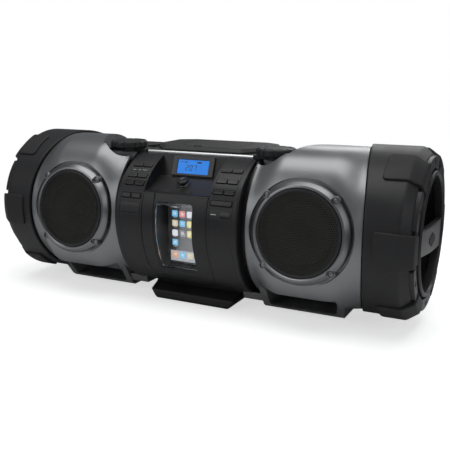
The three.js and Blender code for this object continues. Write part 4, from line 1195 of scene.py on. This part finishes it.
def buildDisplay():
    surround = padOf(oblong(68, 29, 1.2, spacing=1.5), softEdge(0.35, 2.6, 0.6), bayPlace, (0.98, 0.9, 0))
    window = padOf(oblong(51.2, 21.2, 1.0, (0, -1.1), 1.5), [(0, 1.2), (0, 9)], bayPlace, mark=1)
    body = combined(meshOf("frame", surround), window, "DIFFERENCE")
    piece("displayFrame", body, [darkGlass, blackAndRecessShade], "cabinet", "display_panel", "display")
    pane = padOf(oblong(50.6, 20.4, 0.8, (0, -1.1), 1.5), softEdge(0.6, 1.6, 0.2), bayPlace, (0.98, 0.5, 0))
    piece("displayPane", pane, lcdBlue, "cabinet", None, "display")
    inks = []
    for digit, u in (("2", -9.5), ("0", -3.0), ("7", 3.5)):
        inks += [padOf(o, [(0, 1.5), (0, 1.68)], bayPlace, (0,)) for o in numeral(digit, u, -2.6, 3.6)]
    for outline in (oblong(7, 2.4, 0.5, (9.5, 5.6), 0.6), oblong(3.4, 1.2, 0.2, (-19, 5.6), 0.6),
                    oblong(5.4, 1.2, 0.2, (-12.5, 5.6), 0.6)):
        inks.append(padOf(outline, [(0, 1.5), (0, 1.68)], bayPlace, (0,)))
    piece("displayMarks", together(*inks), lcdInk, "cabinet", None, "display")

    ring = turned(rounded([(3.9, 0.3), (7.6, 0.3), (7.6, 2.2, 0.8), (5.2, 3.2, 0.8), (3.9, 2.6, 0.3)], 4),
                  64, shelfPlace)
    piece("joystickRing", ring, steel, "joystick_ring", "joystick_ring", "steel")
    cap = rounded([(0, 1.4), (3, 1.4), (3.2, 4.2, 1), (7.4, 4.8, 0.8), (8.4, 6.6, 1.2), (7.6, 9.0, 1.2),
                   (5.8, 9.6, 0.8), (3.2, 8.4, 2), (0, 8.2)], 5, False)
    piece("joystickCap", turned(cap, 64, shelfPlace), buttonBlack, "joystick", "joystick", "button")
    rim = turned(rounded([(8.6, -0.4), (11.2, -0.4), (11.2, 0.6, 0.4), (9.6, 1.0, 0.4), (8.6, 0.5, 0.2)], 3),
                 64, shelfPlace)
    piece("joystickRim", rim, stripGrey, "cabinet", None, "black")


buildHousing()
stripDetails()
buildButtons()
buildDoor()
buildPlayer()
buildDisplay()
print("stage: control module")


# Top

lid = {"low": 96.35, "high": 102.95, "side": 98.0, "latch": (-8, -29)}
jack = {"x": -163, "y": 10}


def above(x, y):
    return lambda u, v, h: np.stack([x + u, y + v, h], -1)


def subdivided(corners, pieces):
    t = (np.arange(pieces) / pieces)[:, None]
    return np.concatenate([a + (b - a) * t for a, b in zip(corners, np.roll(corners, -1, 0))])


def buildDeck():
    bump = evenly(rounded([(-76, 12), (76, 12), (76, 56, 8), (49, 92, 8), (-49, 92, 8), (-76, 56, 8)]), 3)
    angle = np.arange(220) * fullTurn / 220
    x = np.linspace(-215, 215, 130)[:, None]
    r = shellReach(x, angle)
    ends = np.zeros((1, 220))
    x, r = np.vstack([x[:1], x, x[-1:]]), np.vstack([ends, r, ends])
    skin = sheetOf(np.stack([x + 0 * angle, -r * np.cos(angle), r * np.sin(angle)], -1))
    plate = combined(meshOf("plate", padOf(deckOutline(-0.35),
                                           softEdge(deck["floor"] + 0.35, deck["top"],
                                                    0.7))), skin, "INTERSECT")
    gapTool = block(-106.7, 106.7, -120, deck["trimY"] + 1.05, 60, 120, 1)
    plate = combined(plate, gapTool, "DIFFERENCE")
    plate = combined(plate, padOf(bump, softEdge(deck["floor"] + 0.35, deck["top"], 0.7)), "UNION")
    middle = above(0, deck["wellY"])
    cup = turned([(0, 76), (64, 76), (64, 95), (0, 95)], 120, middle)
    plate = combined(plate, cup, "UNION")
    w = deck["well"]
    mouth = rounded([(0, 79), (20, 79, 0.5), (22, 82, 1), (w - 1, 84, 2), (w, 96, 0.5), (w + 0.6, 150),
                     (0, 150)], 4)
    tools = [turned(mouth, 120, middle, 1)]
    dish = combined(meshOf("dish", scoopTool(84, 33)), block(60, 300, -160, deck["knobY"] - 4, 60, 170),
                    "INTERSECT")
    for tool in tools:
        plate = combined(plate, tool, "DIFFERENCE")
    for side in (1, -1):
        plate = combined(plate, dish if side > 0 else flipped(dish), "DIFFERENCE")
        collar = turned(rounded([(0, 92), (31.5, 92), (31.5, 96.9, 0.8), (24, 97.3, 0.5), (14, 98.2, 0.4),
                                 (0, 98.2)], 3, False), 64,
                        above(side * deck["knobX"], deck["knobY"]))
        back = combined(meshOf("collar", collar), block(side * 121 - 40, side * 121 + 40,
                                                        deck["knobY"] - 3.4, 60, 60, 120), "INTERSECT")
        plate = combined(plate, back, "UNION")
        post = turned([(0, 91.8), (13.5, 91.8), (13.5, 98.2), (0, 98.2)], 48,
                      above(side * deck["knobX"], deck["knobY"]))
        plate = combined(plate, post, "UNION")
        ramp = [(side * 118, -14, 2), (side * 94, -14, 2), (side * 94, 50, 2), (side * 118, 50, 2)]
        slope = lambda u, v, h, side=side: np.stack([u, v, np.where(h > 96, h - (np.abs(u) - 94) / 24 * 3.4,
                h)], -1)
        plate = combined(plate, padOf(evenly(rounded(ramp), 3), [(0, 92.5), (0, 99.6), (0.4, 99.9)], slope,
                                      (0.96, 0.5, 0)), "UNION")
    oval = lambda a, b: np.c_[a * np.cos(np.linspace(0, fullTurn, 72, False)),
                              b * np.sin(np.linspace(0, fullTurn, 72, False))]
    plate = combined(plate, padOf(oval(13.35, 20.35), [(0, 60), (0, 150)], above(jack["x"], jack["y"]),
                                  mark=1), "DIFFERENCE")
    piece("deckPlate", plate, [deckGrey, blackAndRecessShade, scoopGrey], "cabinet", "top_deck", "deck_grey", crease=30)

    place = above(jack["x"], jack["y"])
    cover = meshOf("jack", padOf(oval(13, 20), softEdge(91.8, 98.4, 1.6, 5), place))
    cover = combined(cover, padOf(oval(8.6, 14), [(1.2, 93), (0, 94), (0, 97.2), (-1, 99)], place, mark=1),
                     "DIFFERENCE")
    piece("jackPlate", cover, [frameGrey, blackAndRecessShade], "cabinet", "jack_panel", "frame_grey")
    sockets = [turned(rounded([(1.8, 92.6), (3.6, 92.6), (3.6, 95.2, 0.5), (1.8, 95.6, 0.3)], 3), 32,
                      above(jack["x"], jack["y"] + v))
               for v in (-5.4, 5.4)]
    piece("jackSockets", together(*sockets), steel, "cabinet", None, "frame_grey")

    y = deck["trimY"]
    profile = rounded([(y - 3.2, 88, 0.5), (y, 88), (y, 95.5, 0.8), (y - 1.6, 95.9, 0.8),
                       (y - 3.2, 94, 1.0)], 4)
    strip = bar(profile, -86.5, 86.5, alongX)
    motif = [padOf(oblong(2.6, tall, 0.8, (u, 91.6), 0.6), softEdge(-1, 0.55, 0.3), lambda a, b,
                   h: np.stack([a, y - 3.2 - h, b], -1), (0.6, 0))
             for u, tall in ((-8, 2.4), (-4, 3.8), (0, 4.6), (4, 3.8), (8, 2.4))]
    piece("trimStrip", together(strip, *motif), trimMetal, "cabinet", "trim_strip", "bright")


def buildKnobs():
    t = np.arange(280) * fullTurn / 280
    lobes = 10
    wave = np.abs(np.sin(lobes * t / 2)) ** 0.45
    r = 26.2 + 1.8 * wave
    outline = np.c_[r * np.cos(t), r * np.sin(t)]
    edge = [(1.6, 98.8), (0.5, 99.0), (0, 99.6), (0, 105.2), (0.4, 106.8), (1.3, 107.9), (2.6, 108.5),
            (4.4, 108.8), (5.4, 108.7), (6.0, 108.2), (7.2, 107.9)]
    for name, x, node in (("volumeKnob", deck["knobX"], "volume_knob"),
                          ("soundKnob", -deck["knobX"], "sound_knob")):
        place = above(x, deck["knobY"])
        body = padOf(outline, edge, place, (0.9, 0.5, 0))
        cap = turned(rounded([(0, 107), (18.6, 107), (18.6, 108.4, 0.5), (16, 108.8, 0.6), (0, 108.3)], 4,
                             False), 72, place, 1)
        grip = padOf(oblong(2.2, 11, 0.9, (0, -11)), softEdge(107.5, 109.0, 0.4), place, (0.8, 0), 2)
        piece(name, together(body, cap, grip), [softBlack, deckGrey, printGrey], node, node, "soft_black")


def buildLid():
    n = 5
    corner = lambda points: subdivided(rounded(points, 4), n)
    base = corner([(-64, -40.5, 5), (64, -40.5, 5), (90, -10, 6), (90, 54, 6), (52, 89, 6), (-52, 89, 6),
                   (-90, 54, 6), (-90, -10, 6)])
    top = corner([(-62, -34.6, 5), (62, -34.6, 5), (86.5, -7, 6), (86.5, 49, 6), (62, 63, 6), (-62, 63, 6),
                  (-86.5, 49, 6), (-86.5, -7, 6)])
    low, side, high = lid["low"], lid["side"], lid["high"]
    mix = lambda f: base + (top - base) * f
    rows = [(base, low), (base, side - 0.4), (mix(0.02), side), (mix(0.06), side + 0.4)]
    rows += [(mix(f), side + 0.4 + (high - side - 0.8) * (f - 0.06) / 0.88) for f in (0.3, 0.6, 0.94)]
    rows += [(mix(1.0), high - 0.12), (grown(top, -1.6), high)]
    middle = base.mean(0)
    shrink = lambda o, f: middle + (o - middle) * f
    under = [(shrink(base, f), low) for f in (0, 0.5, 0.97)]
    over = [(shrink(rows[-1][0], f), high) for f in (0.97, 0.6, 0.3, 0)]
    grid = np.stack([np.c_[o, np.full(len(o), z)] for o, z in under + rows + over])
    body = meshOf("lid", sheetOf(grid))
    hollow = turned([(0, 90), (59, 90), (59, 100), (0, 100)], 90, above(0, deck["wellY"]), 1)
    ringGroove = turned([(52, high - 0.5), (53.2, high - 0.5), (53.2, high + 2), (52, high + 2)], 140,
                        above(0, 16), 1)
    seat = padOf(oblong(15, 9, 1.6, lid["latch"]), [(0, 100.2), (0, 120)], mark=1)
    thumb = padOf(oblong(30, 12, 5, (lid["latch"][0], -36)), [(6, 101.2), (3, 101.4), (0, 102.6), (-2, 106)],
                  mark=0)
    for tool in (hollow, ringGroove, thumb, seat):
        body = combined(body, tool, "DIFFERENCE")
    piece("lidPlate", body, [deckGrey, blackAndRecessShade], "disc_lid", "disc_lid", "deck_grey", crease=24)
    key = padOf(oblong(14, 8, 1.4, lid["latch"]), softEdge(100.8, 104.5, 1.0), rings=(0.94, 0.5, 0))
    piece("lidKey", key, buttonBlack, "lid_button", "lid_button", "button")
    hub = turned(rounded([(0, 79.4), (16, 79.4), (16, 82.2, 0.8), (8.4, 83.4, 1), (7.4, 87.2, 1), (0, 88.2)],
                         4, False), 72, above(0, deck["wellY"]))
    balls = [turned([(0, -1)] + [(math.sin(a), -math.cos(a)) for a in np.linspace(0.3, 2.8, 7)] + [(0, 1)],
                    12,
                    lambda u, v, h, a=a: np.stack([7.3 * math.cos(a) + u, deck["wellY"] + 7.3 * math.sin(a)
                                                   + v, 85.8 + h], -1), 1)
             for a in (0.5, 2.6, 4.7)]
    piece("discHub", together(hub, *balls), [satinBlack, steel], "disc_spindle", "disc_spindle", "black")


buildDeck()
buildKnobs()
buildLid()
print("stage: top")


# Feet and back

foot = {"inner": 112, "outer": 235, "bottom": -117, "leg": 8}


def buildFeet():
    side = rounded([(-81, -78, 2), (-74, -70), (44, -70), (44, -117, 3), (-54, -117, 3), (-60, -112.6, 2)])
    bodySolid = meshOf("foot", bar(evenly(side, 4), foot["inner"], foot["outer"], alongX))
    # the outer end slants inwards towards the floor
    slant = np.array([[226, -130], [260, -130], [260, -60], [238, -74]], float)
    slantPlace = lambda u, v, h: np.stack([u, h, v], -1)
    bodySolid = combined(bodySolid, bar(slant, -120, 100, slantPlace), "DIFFERENCE")
    # the hole through the foot and the cut round the drum take the near-black second material: painted shade
    # on those walls
    hole = evenly(rounded([(foot["inner"] + 10, -111.4, 5), (220, -111.4, 5), (230, -55),
                           (foot["inner"] + 10, -55)]), 3)
    bodySolid = combined(bodySolid, bar(hole, -160, 38, slantPlace, 1), "DIFFERENCE")
    strap = bar(rounded([(-66, -96, 1), (-62, -108, 2), (40, -108, 2), (40, -96, 1)]), 82, foot["inner"] + 3,
                alongX)
    bodySolid = combined(bodySolid, strap, "UNION")
    bodySolid = combined(bodySolid, turned([(0, 60), (109, 60), (109, 300), (0, 300)], 160, onFace, 1),
                         "DIFFERENCE")
    bothSides("Foot", bodySolid, [frameGrey, blackAndRecessShade], "foot_frame", "frame_grey")
    pad = padOf(oblong(65, 54, 5, (172.5, 13)), [(2.0, -126), (0.8, -125.7), (0, -124.6), (0, -117.3)])
    ridges = [padOf(oblong(60, 1.6, 0.7, (172.5, y)), [(0.3, -126), (0, -125.5), (0, -124)])
              for y in range(-8, 36, 6)]
    bothSides("FootPad", together(pad, *ridges), rubber, "foot_pad", "rubber")

    levels = [(60, 71, -126), (61, 72.6, -125.2), (63.5, 74, -122), (69, 73.4, -114), (70.5, 72.6, -112.8),
              (76, 62, -107), (80, 54, -104),
              (80, 50, -98)]
    rows = []
    for wide, deep, z in levels:
        cut = 10 if z > -112 else 1.5
        ring = subdivided(rounded([(-wide, -deep + 2 * cut, 1), (-wide + cut, -deep, 1),
                                   (wide - cut, -deep, 1), (wide, -deep + 2 * cut, 1),
                                   (wide, deep - 2 * cut, 1), (wide - cut, deep, 1), (-wide + cut, deep,
                                                1), (-wide, deep - 2 * cut, 1)], 3), 4)
        rows.append(np.c_[ring, np.full(len(ring), z)])
    first, last = rows[0], rows[-1]
    shrink = lambda o, f: o * np.array([f, f, 1])
    grid = np.stack([shrink(first, f) for f in (0, 0.5, 0.97)] + rows
                    + [shrink(last, f) for f in (0.97, 0.5, 0)])
    shape = sheetOf(grid)
    z = shape["points"][shape["faces"]].mean(1)[:, 2]
    front = shape["points"][shape["faces"]].mean(1)[:, 1]
    shape["marks"] = ((z < -112.5) & (z > -125.4) & (front < -60)).astype(int)
    piece("centreFoot", shape, [softBlack, scoopGrey], "cabinet", "centre_foot", "soft_black", crease=25)


def buildBack():
    place = onBack
    door = padOf(oblong(123.2, 73.6, 2.5, (0, 0), 2.5), softEdge(-3.6, 0, 0.9), place,
                 tuple(np.linspace(0.98, 0, 30)))
    ribs = [padOf(oblong(26, 1.6, 0.7, (0, v)), softEdge(-0.5, 0.8, 0.4), place, (0.6, 0))
            for v in (22, 25, 28, 31)]
    lines = [padOf(oblong(1.2, 60, 0.5, (u, 0), 2), softEdge(-0.5, 0.45, 0.3), place, (0.6, 0))
             for u in (-52, 52)]
    latch = padOf(oblong(16, 7, 1.5, (0, 36.6)), softEdge(-3, 0.2, 0.5), place, (0.8, 0))
    piece("batteryCover", together(door, *ribs, *lines, latch), softBlack, "battery_door", "battery_door",
          "soft_black")
    pins = [bar(circle(1.2, 16, (82 + u, -29)), 94, 101, alongY, 1) for u in (-3.2, 3.2)]
    socket = bar(oblong(15, 11, 5, (82, -29)), 92, 95, alongY)
    piece("inletPins", together(socket, *pins), [blackAndRecessShade, steel], "cabinet", None, "black")


# u across the back, v up it from the cover's middle, height outwards
def onBack(u, v, h):
    middle = (21.6 - 47.6) / 2
    a = math.asin(middle / 111) + v / 111
    r = 111 + h
    return np.stack([u + 0 * r, r * np.cos(a), r * np.sin(a)], -1)


buildFeet()
buildBack()

for node, material in (("main_board", board), ("left_driver_motor", steel), ("right_driver_motor", steel),
                       ("left_woofer_motor", steel), ("right_woofer_motor", steel)):
    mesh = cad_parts[node].data
    mesh.materials.clear()
    mesh.materials.append(material)
print("stage: feet, back and inner parts")


# Camera, lights and floor

view = {"place": (474.6, -901.3, 210.7), "ahead": (-0.4393, 0.8704, -0.2221), "lens": 54.09, "sensor": 36}


def areaLight(name, place, target, size, power, tone=(1, 1, 1)):
    data = bpy.data.lights.new(name, "AREA")
    data.shape, data.size, data.size_y, data.energy, data.color = "RECTANGLE", size[0], size[1], power, tone
    lamp = bpy.data.objects.new(name, data)
    bpy.context.scene.collection.objects.link(lamp)
    lamp.location = place
    lamp.rotation_euler = (Vector(target) - Vector(place)).to_track_quat("-Z", "Y").to_euler()
    return lamp


def buildStudio():
    cameraData = bpy.data.cameras.new("camera")
    cameraData.lens, cameraData.sensor_width = view["lens"], view["sensor"]
    camera = bpy.data.objects.new("camera", cameraData)
    camera.location = Vector(view["place"]) * unit + Vector(axisPoint)
    camera.rotation_euler = Vector(view["ahead"]).to_track_quat("-Z", "Y").to_euler()
    bpy.context.scene.collection.objects.link(camera)
    bpy.context.scene.camera = camera

    areaLight("overhead", (0.0, -0.25, 1.5), (0, 0, 0.1), (1.8, 1.0), 11)
    areaLight("frontLeft", (-0.9, -1.5, 0.9), (0, 0, 0.12), (1.0, 0.8), 3.2)
    areaLight("right", (1.5, -0.5, 0.8), (0.2, 0, 0.12), (0.7, 0.9), 2.2)
    areaLight("rear", (0.2, 1.4, 1.0), (0, 0, 0.12), (1.4, 0.6), 7)

    world = bpy.data.worlds.new("studio")
    bpy.context.scene.world = world
    world.use_nodes = True
    tree = world.node_tree
    tree.nodes.clear()
    seen = put(tree, "LightPath").outputs["Is Camera Ray"]
    soft = put(tree, "Background", {"Color": (0.9, 0.93, 1.0, 1), "Strength": 0.16})
    paper = put(tree, "Background", {"Color": (1, 1, 1, 1), "Strength": 1.0})
    blend = put(tree, "MixShader", {0: seen, 1: soft.outputs[0], 2: paper.outputs[0]})
    tree.links.new(blend.outputs[0], put(tree, "OutputWorld").inputs["Surface"])

    mesh = bpy.data.meshes.new("floor")
    mesh.from_pydata([(-8, -8, 0), (8, -8, 0), (8, 8, 0), (-8, 8, 0)], [], [(0, 1, 2, 3)])
    floor = bpy.data.objects.new("floor", mesh)
    bpy.context.scene.collection.objects.link(floor)
    pale = finishOf("paleFloor", [(0.86, 0.86, 0.86), (0.88, 0.88, 0.88)], (0.6, 0.7), (60, 0.0), wear=0,
                    dust=0)
    # the floor glows a little for the camera and fades into the white paper behind it
    tree = pale.node_tree
    shader = tree.nodes["Principled BSDF"]
    shader.inputs["Emission Color"].default_value = (1, 1, 1, 1)
    glow = put(tree, "Math", {0: put(tree, "LightPath").outputs["Is Camera Ray"], 1: 0.62},
               operation="MULTIPLY")
    tree.links.new(glow.outputs[0], shader.inputs["Emission Strength"])
    reach = put(tree, "VectorMath", {0: put(tree, "TexCoord").outputs["Object"]},
                operation="LENGTH").outputs["Value"]
    fade = put(tree, "MapRange", {"Value": reach, "From Min": 0.45, "From Max": 1.1, "To Min": 1.0,
                                  "To Max": 0.0}, interpolation_type="SMOOTHSTEP")
    tree.links.new(fade.outputs[0], shader.inputs["Alpha"])
    mesh.materials.append(pale)
    bpy.context.scene.view_settings.view_transform = "Standard"


buildStudio()
